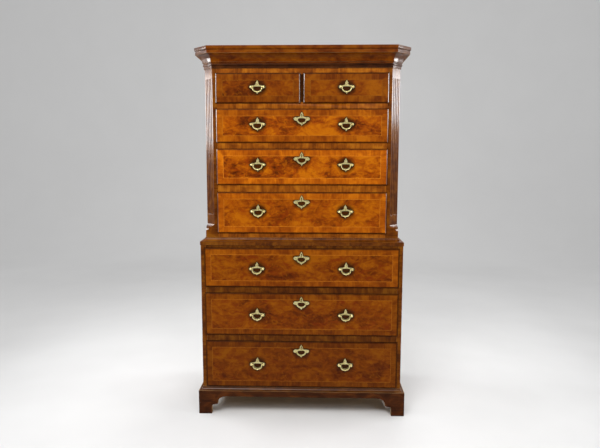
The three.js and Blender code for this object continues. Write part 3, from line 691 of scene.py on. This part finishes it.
# Drawers
# Tone of the burr, its figure, its slow clouds, its drift to the right and its red blush, then
# the tones of the banding and of the string
# The lower drawers' tones are darker: partly their own colour, partly painted shade towards the
# floor
DRAWER_LOOKS = {
    "short_drawer_left": (0.50, 0.80, 0.30, 0.00, 0.55, 0.55, 0.42),
    "short_drawer_right": (0.50, 0.75, 0.30, 0.05, 0.55, 0.53, 0.42),
    "upper_long_drawer_1": (0.85, 1.05, 0.42, 0.00, 0.55, 0.92, 0.80),
    "upper_long_drawer_2": (0.90, 1.20, 0.40, 0.10, 0.60, 1.30, 1.25),
    "upper_long_drawer_3": (0.79, 0.95, 0.28, 0.03, 0.65, 1.12, 1.00),
    "lower_long_drawer_1": (0.53, 0.90, 0.26, -0.03, 0.95, 0.74, 0.85),
    "lower_long_drawer_2": (0.50, 0.80, 0.18, 0.00, 0.95, 0.52, 0.62),
    "lower_long_drawer_3": (0.40, 0.80, 0.16, 0.00, 0.60, 0.42, 0.50),
}
FRONT_CORE_FACES, EDGE, UPRIGHT, LEVEL, STRING, FIELD, HOLE, SIDE_EDGE_GLINT, CREVICE = range(9)
UPPER_BAND = 0.033
LOWER_BAND = 0.031
BAND_LEAF = 0.085
STRING_WIDTH = 0.002
# The lip's rounded edge is toned darker than the burr: partly its own colour, partly painted shade
# round the drawer
EDGE_SHADE_TONE = 0.52
# Tone of the painted glint, a lighter copy of the edge veneer
SIDE_EDGE_GLINT_TONE = 0.6
LIP_STEPS = 8
CREVICE_STEPS = 2


def brass_places(name, centre):
    """How far from a drawer's middle and how high its brasses sit, each place once"""
    places = []
    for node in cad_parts:
        if node.startswith(name) and ("_plate" in node or "_escutcheon" in node):
            x, z = middle(node)
            place = (round(abs(x - centre), 4), z)
            if place not in places:
                places.append(place)
    return places


def front_materials(name, seed, centre):
    """In the order of the numbers above"""
    *looks, banding, string_tone = DRAWER_LOOKS[name]
    field = burr(f"{name}_field", centre, seed, brass_places(name, centre), *looks)
    upright, level = (veneer(f"{name}_band_{word}", BAND_COLOURS, grain, joint, seed, tone=banding,
                             joint_width=BAND_LEAF)
                      for word, grain, joint in (("upright", Z, X), ("level", X, Z)))
    edge = veneer(f"{name}_edge", BAND_COLOURS, Y, None, seed, tone=looks[0] * EDGE_SHADE_TONE,
                  gloss=0.38, specular=0.05)
    side_edge_glint = edge
    # Upright lip edges of the upper drawers get a lighter, glossier copy of the edge veneer: a
    # painted glint
    if not name.startswith("lower"):
        side_edge_glint = veneer(f"{name}_side_edge_glint", BAND_COLOURS, Y, None, seed,
                           tone=looks[0] * SIDE_EDGE_GLINT_TONE, gloss=0.3, specular=1.0, coat=0.9,
                           coat_ior=1.7)
    string = inlay_string(f"{name}_string", string_tone)
    return [FRONT_CORE, edge, upright, level, string, field, KEYHOLE, side_edge_glint, WAX_DIRT_AND_SHADE]


def drawer_front(name, seed):
    """Core, rounded lip, banding, string and burr, with the lock's keyhole sunk in"""
    lo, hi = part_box(name)
    face = lo.y
    lip_back = lo.y + LIP_STAND - SEAT
    shape = Shape()
    outlines = [(BODY_INSET, lo.y + LIP_STAND + BODY_DEPTH), (BODY_INSET, lip_back),
                (0.0, lip_back)]
    numbers = [FRONT_CORE_FACES, EDGE]
    for i in range(1, LIP_STEPS + 1):
        angle = math.pi / 2 * i / LIP_STEPS
        outlines.append((LIP_EDGE * (1 - math.cos(angle)),
                         face + (lip_back - face) * (1 - math.sin(angle))))
        # The outer lip rings next to the carcase take old wax and painted shade
        numbers.append(CREVICE if i <= CREVICE_STEPS else (EDGE, SIDE_EDGE_GLINT))
    band = LOWER_BAND if name.startswith("lower") else UPPER_BAND
    outlines += [(band, face), (band + STRING_WIDTH, face)]
    numbers += [(UPRIGHT, LEVEL), STRING]
    rings = [rectangle(lo, hi, inset, y) for inset, y in outlines]
    inner = shape.rings(rings, numbers, cap_first=FRONT_CORE_FACES)[-1]
    escutcheon = f"{name}_escutcheon"
    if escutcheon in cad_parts:
        hole = keyhole_loop(*middle(escutcheon), grow=KEYHOLE_ROOM)
        mouth, floor = (shape.loop(hole, y) for y in (face, face + KEYHOLE_DEPTH))
        shape.filled([inner, mouth], FIELD)
        shape.band(mouth, floor, HOLE)
        shape.face(floor, HOLE)
    else:
        shape.face(inner, FIELD)
    shape.finish(f"{name}_front", front_materials(name, seed, (lo.x + hi.x) / 2), name,
                 "drawer_walnut", (name,), sharp=FRONT_SHARP)


# Dark line of old wax and painted shade round each drawer's lip on the carcase
RIM_OUT = 0.0018
RIM_IN = 0.005
WAX_AND_SHADE_THICK = 0.00016


def wax_and_shade_line(name, loops, y, body, slot):
    """A film of old wax and painted shade between an outline and an opening"""
    shape = Shape()
    shape.plate(loops, y, y - WAX_AND_SHADE_THICK, 0)
    shape.finish(name, [WAX_DIRT_AND_SHADE], body, slot)


def rim_dirt_and_shade(name):
    """Old wax and painted shade on the carcase round a drawer's lip"""
    lo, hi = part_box(name)
    outer, inner = ([(x, z) for x, _, z in rectangle(lo, hi, inset, 0.0)]
                    for inset in (-RIM_OUT, RIM_IN))
    wax_and_shade_line(f"{name}_rim_dirt_and_shade", [outer, list(reversed(inner))], lo.y + LIP_STAND, "carcase",
             "carcase_walnut")


TAIL_LENGTH = 0.012
TAIL_PITCH = 0.042
TAIL_WIDE = 0.026
TAIL_NARROW = 0.017
BOX_ARRIS = 0.0006
SIDE_ARRIS = 0.0005
WIDE_DRAWER = 0.6


def drawer_box(name):
    """Sides with their dovetails, back, and bottom boards laid front to back"""
    lo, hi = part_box(name)
    join = lo.y + LIP_STAND + BODY_DEPTH
    low = lo.z + BOX_RISE
    high = hi.z - BOX_TOP_DROP
    back = hi.y
    shape = Shape()
    x0 = lo.x + BOX_INSET
    x1 = hi.x - BOX_INSET
    count = max(2, round((high - low) / TAIL_PITCH))
    pitch = (high - low) / count
    outline = [(back, low), (back, high), (join, high)]
    for i in reversed(range(count)):
        centre = low + pitch * (i + 0.5)
        outline += [(join, centre + TAIL_NARROW / 2), (join - TAIL_LENGTH, centre + TAIL_WIDE / 2),
                    (join - TAIL_LENGTH, centre - TAIL_WIDE / 2), (join, centre - TAIL_NARROW / 2)]
    outline.append((join, low))
    for x in (x0, x1 - BOX_SIDE):
        shape.prism(outline, X, x, x + BOX_SIDE, 0, SIDE_ARRIS)
    inner0 = x0 + BOX_SIDE
    inner1 = x1 - BOX_SIDE
    bottom = low + BOX_BOTTOM_RISE
    shape.box((inner0, back - BOX_SIDE, bottom), (inner1, back, high - BOX_BACK_DROP), 1,
              BOX_ARRIS)
    boards = 2 if hi.x - lo.x < WIDE_DRAWER else 4
    wide = (inner1 - inner0) / boards
    for i in range(boards):
        left = inner0 + wide * i
        shape.box((left, join, bottom), (left + wide, back - BOX_SIDE, bottom + BOX_BOTTOM), 2,
                  BOX_ARRIS)
    shape.finish(f"{name}_box", [OAK, OAK_ACROSS, OAK], name, "secondary_wood")


LOCK_WIDTH = 0.074
LOCK_HEIGHT = 0.05
LOCK_THICK = 0.007
LOCK_ARRIS = 0.0012
SCREW_OUT = 0.42
SCREW_LEVELS = (0.14, 0.86)
SCREW_HEAD = [(0.0035, 0.0), (0.0035, 0.0009), (0.0021, 0.0017), (0.0004, 0.002)]
NUT_HALF = 0.0055
NUT_THICK = 0.004
SHANK = [(0.0021, 0.0), (0.0021, 0.0075), (0.00126, 0.0085)]


def drawer_lock(name):
    """Iron lock let into the inside of the front, with its screw heads"""
    lo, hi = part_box(name)
    x, _ = middle(f"{name}_escutcheon")
    y = lo.y + LIP_STAND + BODY_DEPTH
    top = hi.z - BOX_TOP_DROP
    shape = Shape()
    shape.box((x - LOCK_WIDTH / 2, y, top - LOCK_HEIGHT), (x + LOCK_WIDTH / 2, y + LOCK_THICK, top),
              0, LOCK_ARRIS)
    for hand in (-1, 1):
        for share in SCREW_LEVELS:
            place = (x + hand * LOCK_WIDTH * SCREW_OUT, y + LOCK_THICK - SEAT,
                     top - LOCK_HEIGHT * share)
            shape.lathe(SCREW_HEAD, place, Y_AXIS, 14)
    shape.finish(f"{name}_lock", [IRON], name, "brass")


def handle_nuts(name, plates):
    """Square nuts that hold the handle posts from inside"""
    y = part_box(name)[0].y + LIP_STAND + BODY_DEPTH
    shape = Shape()
    for plate in plates:
        centre, z = middle(plate)
        for hand in (-1, 1):
            x = centre + hand * POST_HALF_SPACING
            shape.box((x - NUT_HALF, y, z - NUT_HALF), (x + NUT_HALF, y + NUT_THICK, z + NUT_HALF),
                      0, BOX_ARRIS)
            shape.lathe(SHANK, (x, y, z), Y_AXIS, 12)
    shape.finish(f"{name}_nuts", [BRASS], name, "brass")


# Brasses: outlines as shares of a plate's half width and half height, from the top round the right
PLATE_OUTLINE = [(0.0, 1.0), (0.1, 0.78), (0.19, 0.58), (0.17, 0.44), (0.28, 0.3),
                 (0.52, 0.24), (0.8, 0.25), (0.95, 0.12), (1.0, 0.0), (0.95, -0.13),
                 (0.8, -0.24), (0.62, -0.27), (0.54, -0.44), (0.36, -0.64), (0.13, -0.77),
                 (0.0, -1.0)]
PLATE_OPENING = [(0.0, 0.1), (0.3, 0.08), (0.46, -0.04), (0.44, -0.26), (0.28, -0.46),
                 (0.0, -0.56)]
BAIL_PATH = [(1.0, 0.12), (1.0, -0.16), (0.93, -0.5), (0.62, -0.84), (0.0, -1.0)]
# Turned parts, as (radius, height)
POST_PROFILE = [(0.0002, 0.0008), (0.0056, 0.0008), (0.0058, 0.0016), (0.005, 0.0026),
                (0.0034, 0.0036), (0.0028, 0.0052), (0.0032, 0.0066), (0.0048, 0.0076),
                (0.0054, 0.0092), (0.0055, 0.011), (0.0054, 0.0128), (0.0046, 0.0144),
                (0.0026, 0.0156), (0.0003, POST_REACH)]
# Ring of old wax and painted shade round the foot of each post
POST_WAX_AND_SHADE = [(0.00304, 0.0), (0.0076, 0.0), (0.007372, WAX_AND_SHADE_THICK), (0.00304, WAX_AND_SHADE_THICK)]
BAIL_EYE = [(0.0019, -0.0021), (0.0027, -0.0014), (0.0029, 0.0), (0.0027, 0.0014),
            (0.0019, 0.0021)]
BAIL_BEAD = [(0.0016, -0.0032), (0.0027, -0.0024), (0.003, -0.001), (0.003, 0.001),
             (0.0027, 0.0024), (0.0016, 0.0032)]
PIN_ROUND = 0.0004
PIN_TIP = 0.7
BAIL_THIN = 0.8
# Dark line of old wax and painted shade round each brass and inside its opening
WAX_AND_SHADE_OUT = 0.0026
WAX_AND_SHADE_IN = 0.0018
WAX_AND_SHADE_LIFT = 0.0002
# Plate zone darkened with tarnish and painted shade: below the middle behind the bail, and out by
# the posts
TARNISH_AND_SHADE_LOW = 0.76
TARNISH_AND_SHADE_HIGH = 0.12
TARNISH_AND_SHADE_SIDE = 0.46
BRIGHT, DULL, WAX_AND_SHADE, DARK = range(4)


def catmull(points, steps):
    """A smooth run through the points, ends included"""
    path = []
    ends = [points[0]] + points + [points[-1]]
    for i in range(1, len(ends) - 2):
        near = ends[i - 1:i + 3]
        for t in shares(steps)[:-1]:
            path.append(tuple(
                0.5 * (2 * b + (c - a) * t + (2 * a - 5 * b + 4 * c - d) * t * t
                       + (3 * b - a - 3 * c + d) * t ** 3)
                for a, b, c, d in zip(*near)))
    path.append(points[-1])
    return path


def both_halves(outline, x, z, steps):
    right = [(u * PLATE_HALF_WIDTH, v * PLATE_HALF_HEIGHT) for u, v in catmull(outline, steps)]
    left = [(-u, v) for u, v in reversed(right[1:-1])]
    return [(x + u, z + v) for u, v in right + left]


def plate_loops(x, z):
    """The outline and the opening of a handle plate or an escutcheon"""
    return [both_halves(PLATE_OUTLINE, x, z, 3),
            list(reversed(both_halves(PLATE_OPENING, x, z, 4)))]


def set_off(loop, distance):
    """The loop of (x, z) moved outwards by a distance"""
    area = sum(a[0] * b[1] - b[0] * a[1] for a, b in in_turn(loop))
    side = distance if area > 0 else -distance
    moved = []
    for i, point in enumerate(loop):
        before = Vector(loop[i - 1])
        after = Vector(loop[(i + 1) % len(loop)])
        run = (after - before).normalized()
        moved.append((point[0] + run.y * side, point[1] - run.x * side))
    return moved


def dirt_and_shade_line(node, loops, y, body):
    """Dark old wax and painted shade on the veneer round a brass and inside its opening"""
    outline, opening = loops
    wax_and_shade_line(f"{node}_dirt_and_shade_line", [set_off(outline, WAX_AND_SHADE_OUT), set_off(opening, -WAX_AND_SHADE_IN)], y, body,
             "drawer_walnut")


def handle_plate(node, body):
    """Pierced plate with its two turned posts, darker behind the bail and by the posts with tarnish
    and painted shade
    """
    x, z = middle(node)
    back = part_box(node)[1].y
    front = back - PLATE_THICKNESS
    loops = plate_loops(x, z)
    shape = Shape()

    # Faces behind the bail and by the posts, darkened with tarnish and painted shade
    def in_tarnish_and_shade(point):
        up = (point.z - z) / PLATE_HALF_HEIGHT
        aside = abs(point.x - x) / PLATE_HALF_WIDTH
        return -TARNISH_AND_SHADE_LOW < up < -TARNISH_AND_SHADE_HIGH or aside > TARNISH_AND_SHADE_SIDE
    shape.plate(loops, back, front, DULL, DULL, PLATE_CHAMFER, (DARK, in_tarnish_and_shade))
    for hand in (-1, 1):
        foot = (x + hand * POST_HALF_SPACING, front, z)
        shape.lathe(POST_PROFILE, foot, -Y_AXIS, 20, BRIGHT)
        shape.lathe(POST_WAX_AND_SHADE, foot, -Y_AXIS, 24, WAX_AND_SHADE)
    dirt_and_shade_line(node, loops, back + WAX_AND_SHADE_LIFT, body)
    shape.finish(f"{node}_dressed", [BRASS, BRASS_DULL, WAX_DIRT_AND_SHADE, BRASS_TARNISH_AND_SHADE], body, "brass",
                 (node,), sharp=BRASS_SHARP)


def escutcheon(node, body):
    lo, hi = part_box(node)
    x, z = middle(node)
    loops = plate_loops(x, z)
    shape = Shape()
    shape.plate(loops + [list(reversed(keyhole_loop(x, z)))], hi.y, lo.y, DULL, BRIGHT,
                PLATE_CHAMFER)
    dirt_and_shade_line(node, loops, hi.y + WAX_AND_SHADE_LIFT, body)
    shape.finish(f"{node}_dressed", [BRASS, BRASS_DULL], body, "brass", (node,), sharp=BRASS_SHARP)


def bail(node, plate):
    """A bar thinner towards its ends, with a pin and an eye at each and a bead at the middle"""
    x, z = middle(plate)
    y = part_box(plate)[1].y - PLATE_THICKNESS - PIVOT_REACH
    half = [(x + u * BAIL_LEG, z + v * BAIL_DROP) for u, v in catmull(BAIL_PATH, 8)]
    other = [(2 * x - u, v) for u, v in reversed(half[:-1])]
    path = [(u, y, v) for u, v in half + other]
    radii = [BAIL_RADIUS * (BAIL_THIN + (1 - BAIL_THIN) * max(0.0, (z - v) / BAIL_DROP) ** 2)
             for _, _, v in path]
    shape = Shape()
    shape.tube(path, radii, 14)
    length = PIN_END - BAIL_LEG
    pin = [(PIN_RADIUS * PIN_TIP, 0.0), (PIN_RADIUS, PIN_ROUND),
           (PIN_RADIUS, length - PIN_ROUND), (PIN_RADIUS * PIN_TIP, length)]
    for hand in (-1, 1):
        shape.lathe(pin, (x + hand * BAIL_LEG, y, z), X_AXIS * hand, 14)
        shape.lathe(BAIL_EYE, (x + hand * BAIL_LEG, y, z), X_AXIS, 16)
    shape.lathe(BAIL_BEAD, (x, y, z - BAIL_DROP), X_AXIS, 18)
    shape.finish(f"{node}_dressed", [BRASS], node, "brass", (node,), sharp=BRASS_SHARP)


for order, name in enumerate(DRAWER_LOOKS):
    drawer_front(name, 1.0 + order * 1.37)
    rim_dirt_and_shade(name)
    drawer_box(name)
    plates = [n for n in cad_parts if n.startswith(name) and "_plate" in n]
    handle_nuts(name, plates)
    for plate in plates:
        handle_plate(plate, name)
        bail(plate.replace("_plate", "_bail"), plate)
    if f"{name}_escutcheon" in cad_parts:
        escutcheon(f"{name}_escutcheon", name)
        drawer_lock(name)


# Carcase
FACING = 0.6
STRAIGHT = 0.95
SKIN = 0.002
SIDEWAYS = 1.5
MITRED = 0.35
FINE_ARRIS = 0.0006
BASE_ARRIS = 0.001
MUNTIN_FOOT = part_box("short_drawer_left")[0].z + 0.005


def faces_front(node):
    """Veneer on faces that look forward at the node's own front, plain wood elsewhere"""
    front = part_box(node)[0].y
    veneered, plain, muntin = range(3)

    def choose(centre, normal):
        if normal.y > -FACING or centre.y > front + SKIN:
            return plain
        return muntin if node == "upper_divider_1" and centre.z > MUNTIN_FOOT else veneered
    return choose


for node in ("upper_divider_1", "upper_divider_2", "upper_divider_3", "upper_bottom_board",
             "lower_divider_1", "lower_divider_2", "lower_bottom_board"):
    refined(node, "carcase_walnut" if "divider" in node else "secondary_wood",
            [RAIL, PINE, MUNTIN] if node.startswith("upper") else [LOWER_RAIL, PINE],
            faces_front(node), levels=(MUNTIN_FOOT,) if node == "upper_divider_1" else ())


def side_faces(node):
    """Long grain outside, crossgrain on the front stile, plain wood inside"""
    lo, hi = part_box(node)
    hand = 1 if hi.x > 0 else -1
    outer = hi.x if hand > 0 else lo.x
    outside, stile, inside = range(3)

    def choose(centre, normal):
        if normal.x * hand > FACING and abs(centre.x - outer) < SKIN:
            return outside
        return stile if normal.y < -FACING and centre.y < lo.y + SKIN else inside
    return choose


for word in ("left", "right"):
    for node in (f"lower_side_{word}", f"upper_side_{word}"):
        refined(node, "carcase_walnut", [SIDE, STILE, PINE_UPRIGHT], side_faces(node))
for node, back in (("lower_back_boards", LOWER_BACK), ("upper_back_boards", UPPER_BACK)):
    refined(node, "secondary_wood", [back], lambda centre, normal: 0, bevel=FINE_ARRIS)

CORNICE_HEIGHT = 0.1
CORNICE_FOOT = 0.0225
CORNICE_DEPTH = 0.075

# Corner posts, with a flat cant, stopped flutes and a lamb's tongue
CANT_LEG = 0.044
FLUTE_COUNT = 4
FLUTE_PITCH = 0.0135
FLUTE_RADIUS = 0.0052
FLUTE_DEPTH = 0.0026
FLUTE_BOTTOM_UP = 0.132
FLUTE_TOP_DOWN = 0.047
FLUTE_POINTS = 10
FLUTE_FLAT = 0.05
FLUTE_END_STEPS = 8
STOP_TOP_UP = 0.089
STOP_LENGTH = 0.036
STOP_SHELF_SHARE = 0.33
STOP_UPPER_SHARE = 0.36
STOP_LOWER_SHARE = 0.39
STOP_STEPS = 12
ARRIS = 0.0005


def post_levels(low, high):
    """Height, depth of the cant and radius of the flutes for each section, from the foot up"""
    full = CANT_LEG / math.sqrt(2)
    top = low + STOP_TOP_UP
    bottom = top - STOP_LENGTH
    shelf_top = top - STOP_LENGTH * STOP_UPPER_SHARE
    shelf_bottom = bottom + STOP_LENGTH * STOP_LOWER_SHARE
    shelf = full * STOP_SHELF_SHARE
    levels = [(low, ARRIS, 0.0)]
    for t in shares(STOP_STEPS):
        depth = max(ARRIS, shelf * (1 - (1 - t) ** 2))
        levels.append((bottom + (shelf_bottom - bottom) * t, depth, 0.0))
    for t in shares(STOP_STEPS):
        depth = full - (full - shelf) * (1 - t) ** 2
        levels.append((shelf_top + (top - shelf_top) * t * t, depth, 0.0))
    flute_low = low + FLUTE_BOTTOM_UP
    flute_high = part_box("cornice")[1].z - CORNICE_HEIGHT - FLUTE_TOP_DOWN
    turns = [math.pi / 2 * share for share in shares(FLUTE_END_STEPS)]
    ends = [(FLUTE_RADIUS * (1 - math.cos(turn)), FLUTE_RADIUS * math.sin(turn)) for turn in turns]
    levels += [(flute_low + rise, full, radius) for rise, radius in ends]
    levels += [(flute_high - rise, full, radius) for rise, radius in reversed(ends)]
    levels.append((high, full, 0.0))
    return levels


def post(hand, node):
    """A corner post in sections from the foot up; hand is the side it stands on"""
    lo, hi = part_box(node)
    inner = lo.x if hand > 0 else hi.x
    outer = hi.x if hand > 0 else lo.x
    out = Vector((hand, -1.0)).normalized()
    along = Vector((hand, 1.0)).normalized()
    corner = Vector((outer, lo.y))
    rise = FLUTE_RADIUS - FLUTE_DEPTH

    def section(z, depth, radius):
        leg = depth * math.sqrt(2)
        plan = [Vector((inner, lo.y)), Vector((outer - hand * leg, lo.y))]
        room = depth / (CANT_LEG / math.sqrt(2))
        spread = math.acos(min(1.0, rise / radius)) if radius > rise else 0.0
        for i in range(FLUTE_COUNT):
            centre = (i - (FLUTE_COUNT - 1) / 2) * FLUTE_PITCH * room
            for share in shares(FLUTE_POINTS):
                aside = 2 * share - 1
                w = centre + aside * ARRIS * room
                u = 0.0
                if spread > FLUTE_FLAT:
                    w = centre + radius * math.sin(spread * aside)
                    u = rise - radius * math.cos(spread * aside)
                plan.append(corner + out * (u - depth) + along * w)
        plan += [Vector((outer, lo.y + leg)), Vector((outer, hi.y)), Vector((inner, hi.y))]
        return [(p.x, p.y, z) for p in plan]
    rings = [section(*level) for level in post_levels(lo.z, hi.z)]
    stile, cant, side, inside = range(4)
    numbers = (stile, *[cant] * (len(rings[0]) - 4), side, inside, inside)
    shape = Shape()
    shape.rings(rings, [numbers] * (len(rings) - 1), cap_first=inside, cap_last=inside)
    shape.finish(f"{node}_dressed", [UPPER_STILE, CANT, SIDE, PINE_UPRIGHT], "carcase",
                 "dark_walnut", (node,), sharp=POST_SHARP)


post(-1, "canted_corner_left")
post(1, "canted_corner_right")


def sideways(normal):
    return abs(normal.x) > abs(normal.y) * SIDEWAYS


def cornice_faces(centre, normal):
    """Moulding to the front and sides, polished cants, a dark foot, and the frieze rail"""
    front, side, plain, cant, foot, frieze = range(6)
    lo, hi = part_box("cornice")
    bottom = hi.z - CORNICE_HEIGHT
    if normal.y < -STRAIGHT and centre.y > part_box("upper_divider_1")[0].y - SKIN:
        return frieze
    if centre.z < bottom:
        return plain
    if abs(centre.x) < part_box("upper_back_boards")[1].x and centre.y > lo.y + CORNICE_DEPTH:
        return plain
    if abs(normal.x) > MITRED * abs(normal.y) and abs(normal.y) > MITRED * abs(normal.x):
        return cant
    if centre.z < bottom + CORNICE_FOOT:
        return foot
    return side if sideways(normal) else front


refined("cornice", "carcase_walnut", [MOULDING, SIDE_MOULDING, PINE, CORNICE_CANT, BEAD, RAIL],
        cornice_faces, bevel=FINE_ARRIS)

WAIST_DROP = 0.0165
WAIST_OUT = 0.03


def waist_faces(centre, normal):
    """Waist moulding round the top of the lower chest, and the top rail below it"""
    front, side, plain, rail = range(4)
    lo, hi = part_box("lower_side_right")
    if normal.y < -FACING and abs(centre.y - lo.y) < SKIN:
        return rail
    outside = abs(centre.x) > hi.x - WAIST_OUT or centre.y < lo.y + WAIST_OUT
    if outside and centre.z > hi.z - WAIST_DROP:
        return side if sideways(normal) else front
    return plain


refined("lower_top", "carcase_walnut", [WAIST, SIDE_WAIST, PINE, LOWER_RAIL], waist_faces,
        bevel=FINE_ARRIS)

BASE_MOULDING_HEIGHT = 0.0215
BASE_MOULDING_OUT = 0.021


def base_faces(centre, normal):
    """Base moulding over the apron and feet, with plain wood inside and behind"""
    front, side, plain, moulding, side_moulding = range(5)
    lo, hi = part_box("bracket_base")
    outside = abs(centre.x) > hi.x - BASE_MOULDING_OUT or centre.y < lo.y + BASE_MOULDING_OUT
    if outside and centre.z > hi.z - BASE_MOULDING_HEIGHT:
        return side_moulding if sideways(normal) else moulding
    if normal.y < -FACING and centre.y < lo.y + SKIN:
        return front
    return side if abs(normal.x) > FACING and abs(centre.x) > hi.x - SKIN else plain


refined("bracket_base", "dark_walnut", [BASE, SIDE_BASE, PINE, BASE_MOULDING, SIDE_BASE_MOULDING],
        base_faces, bevel=BASE_ARRIS)


# Stage: a pale floor that curves up into a backdrop
FLOOR_FRONT = -6.5
FLOOR_BACK = 5.4
COVE_RADIUS = 1.8
COVE_STEPS = 16
WALL_TOP = 8.0
STAGE_HALF = 15.0
FLOOR_STOPS = (0.3, 0.7)
FLOOR_GREYS = [(grey, grey, grey) for grey in (0.66, 0.7)]
SEEN_GREYS = [(grey, grey, grey) for grey in (0.39, 0.41)]
FLOOR_GLOW = 0.34
GLOW_START = 0.9
GLOW_FULL = 4.6
WHITE = (1.0, 1.0, 1.0, 1.0)


def pale_floor():
    """Pale grey that lights the object by its own colour; away from the object the camera sees
    it as an even backdrop"""
    r = Recipe("pale_floor", 0.9, specular=0.0)
    tint = r.tinted("floor_tint", FLOOR_STOPS, FLOOR_GREYS)
    seen = r.node("BsdfPrincipled", {"Roughness": 0.9, "Specular IOR Level": 0.0,
                                     "Emission Color": WHITE, "Emission Strength": FLOOR_GLOW})
    r.feed(seen.inputs["Base Color"], r.ramp(tint, stops(FLOOR_STOPS, SEEN_GREYS)))
    x, y, _ = r.split(r.coords())
    far = r.spread(r.reach(x, y), GLOW_START, GLOW_FULL)
    share = r.times(r.node("LightPath", {}).outputs["Is Camera Ray"], far)
    mixed = r.node("MixShader", {0: share, 1: r.shader.outputs[0], 2: seen.outputs[0]})
    output = next(n for n in r.tree.nodes if n.type == "OUTPUT_MATERIAL")
    r.feed(output.inputs["Surface"], mixed.outputs[0])
    return r.material


def stage_floor():
    foot = FLOOR_BACK - COVE_RADIUS
    profile = [(FLOOR_FRONT, 0.0), (foot, 0.0)]
    for share in shares(COVE_STEPS)[1:]:
        angle = math.pi / 2 * share
        profile.append((foot + COVE_RADIUS * math.sin(angle),
                        COVE_RADIUS * (1 - math.cos(angle))))
    profile.append((FLOOR_BACK, WALL_TOP))
    mesh = bpy.data.meshes.new("floor")
    points = [(x, y, z) for y, z in profile for x in (-STAGE_HALF, STAGE_HALF)]
    faces = [(2 * i, 2 * i + 1, 2 * i + 3, 2 * i + 2) for i in range(len(profile) - 1)]
    mesh.from_pydata(points, [], faces)
    mesh.shade_smooth()
    mesh.materials.append(pale_floor())
    floor = placed("floor", mesh)


stage_floor()

# Lamps: name, place, what they point at, width, height and watts
CHEST_MIDDLE = (0.0, 0.0, 1.1)
CHEST_LOWER = (0.0, 0.0, 0.9)
LAMPS = (
    ("key", (-1.1, -3.1, 4.3), CHEST_MIDDLE, 2.0, 1.6, 148),
    ("fill", (1.9, -4.2, 3.6), CHEST_MIDDLE, 1.8, 1.8, 62),
    ("side_left", (-2.1, -0.3, 1.69), (0.0, -0.3, 1.62), 2.4, 0.56, 40),
    ("side_right", (2.1, -0.3, 1.8), (0.0, -0.3, 1.72), 2.4, 0.4, 35),
    ("high_left", (-2.7, 0.8, 3.3), CHEST_LOWER, 1.4, 1.4, 34),
    ("high_right", (2.7, 0.8, 3.3), CHEST_LOWER, 1.4, 1.4, 34),
    ("back", (0.8, 2.2, 3.4), (0.0, 0.3, 1.0), 1.6, 1.2, 40),
)

for name, place, target, width, height, power in LAMPS:
    light = bpy.data.lights.new(name, "AREA")
    light.shape = "RECTANGLE"
    light.size = width
    light.size_y = height
    light.energy = power
    lamp = placed(name, light)
    lamp.location = place
    lamp.visible_camera = False
    aim = Vector(target) - Vector(place)
    lamp.rotation_euler = aim.to_track_quat("-Z", "Y").to_euler()

WORLD_LIGHT = 0.12
WORLD_SEEN = 0.49


def studio_world():
    """A dim even light all round, seen by the camera itself as a pale grey"""
    made = bpy.data.worlds.new("studio")
    made.use_nodes = True
    tree = made.node_tree
    light = tree.nodes["Background"]
    seen = tree.nodes.new("ShaderNodeBackground")
    for node, strength in ((light, WORLD_LIGHT), (seen, WORLD_SEEN)):
        node.inputs[0].default_value = WHITE
        node.inputs[1].default_value = strength
    path = tree.nodes.new("ShaderNodeLightPath")
    mixed = tree.nodes.new("ShaderNodeMixShader")
    tree.links.new(path.outputs["Is Camera Ray"], mixed.inputs[0])
    tree.links.new(light.outputs[0], mixed.inputs[1])
    tree.links.new(seen.outputs[0], mixed.inputs[2])
    tree.links.new(mixed.outputs[0], tree.nodes["World Output"].inputs["Surface"])
    return made


world = studio_world()
bpy.context.scene.world = world

# Camera at the photograph's viewing angle
PHOTO_WIDTH = 600.0
FOCAL_PIXELS = 544.6
SENSOR = 36.0
PITCH = math.radians(6.715)
YAW = math.radians(1.637)
ROLL = math.radians(0.085)
CAMERA_X = 0.0696
CAMERA_HEIGHT = 1.3063
CAMERA_DISTANCE = 2.6947

lower_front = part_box("lower_side_left")[0].y
camera_data = bpy.data.cameras.new("camera")
camera_data.sensor_width = SENSOR
camera_data.lens = FOCAL_PIXELS / PHOTO_WIDTH * SENSOR
camera = placed("camera", camera_data)
place = Matrix.Translation((CAMERA_X, lower_front - CAMERA_DISTANCE, CAMERA_HEIGHT))
camera.matrix_world = (place @ Matrix.Rotation(YAW, 4, "Z")
                       @ Matrix.Rotation(math.pi / 2 - PITCH, 4, "X")
                       @ Matrix.Rotation(ROLL, 4, "Z"))
bpy.context.scene.camera = camera
bpy.context.scene.view_settings.view_transform = "Standard"

bpy.context.view_layer.update()
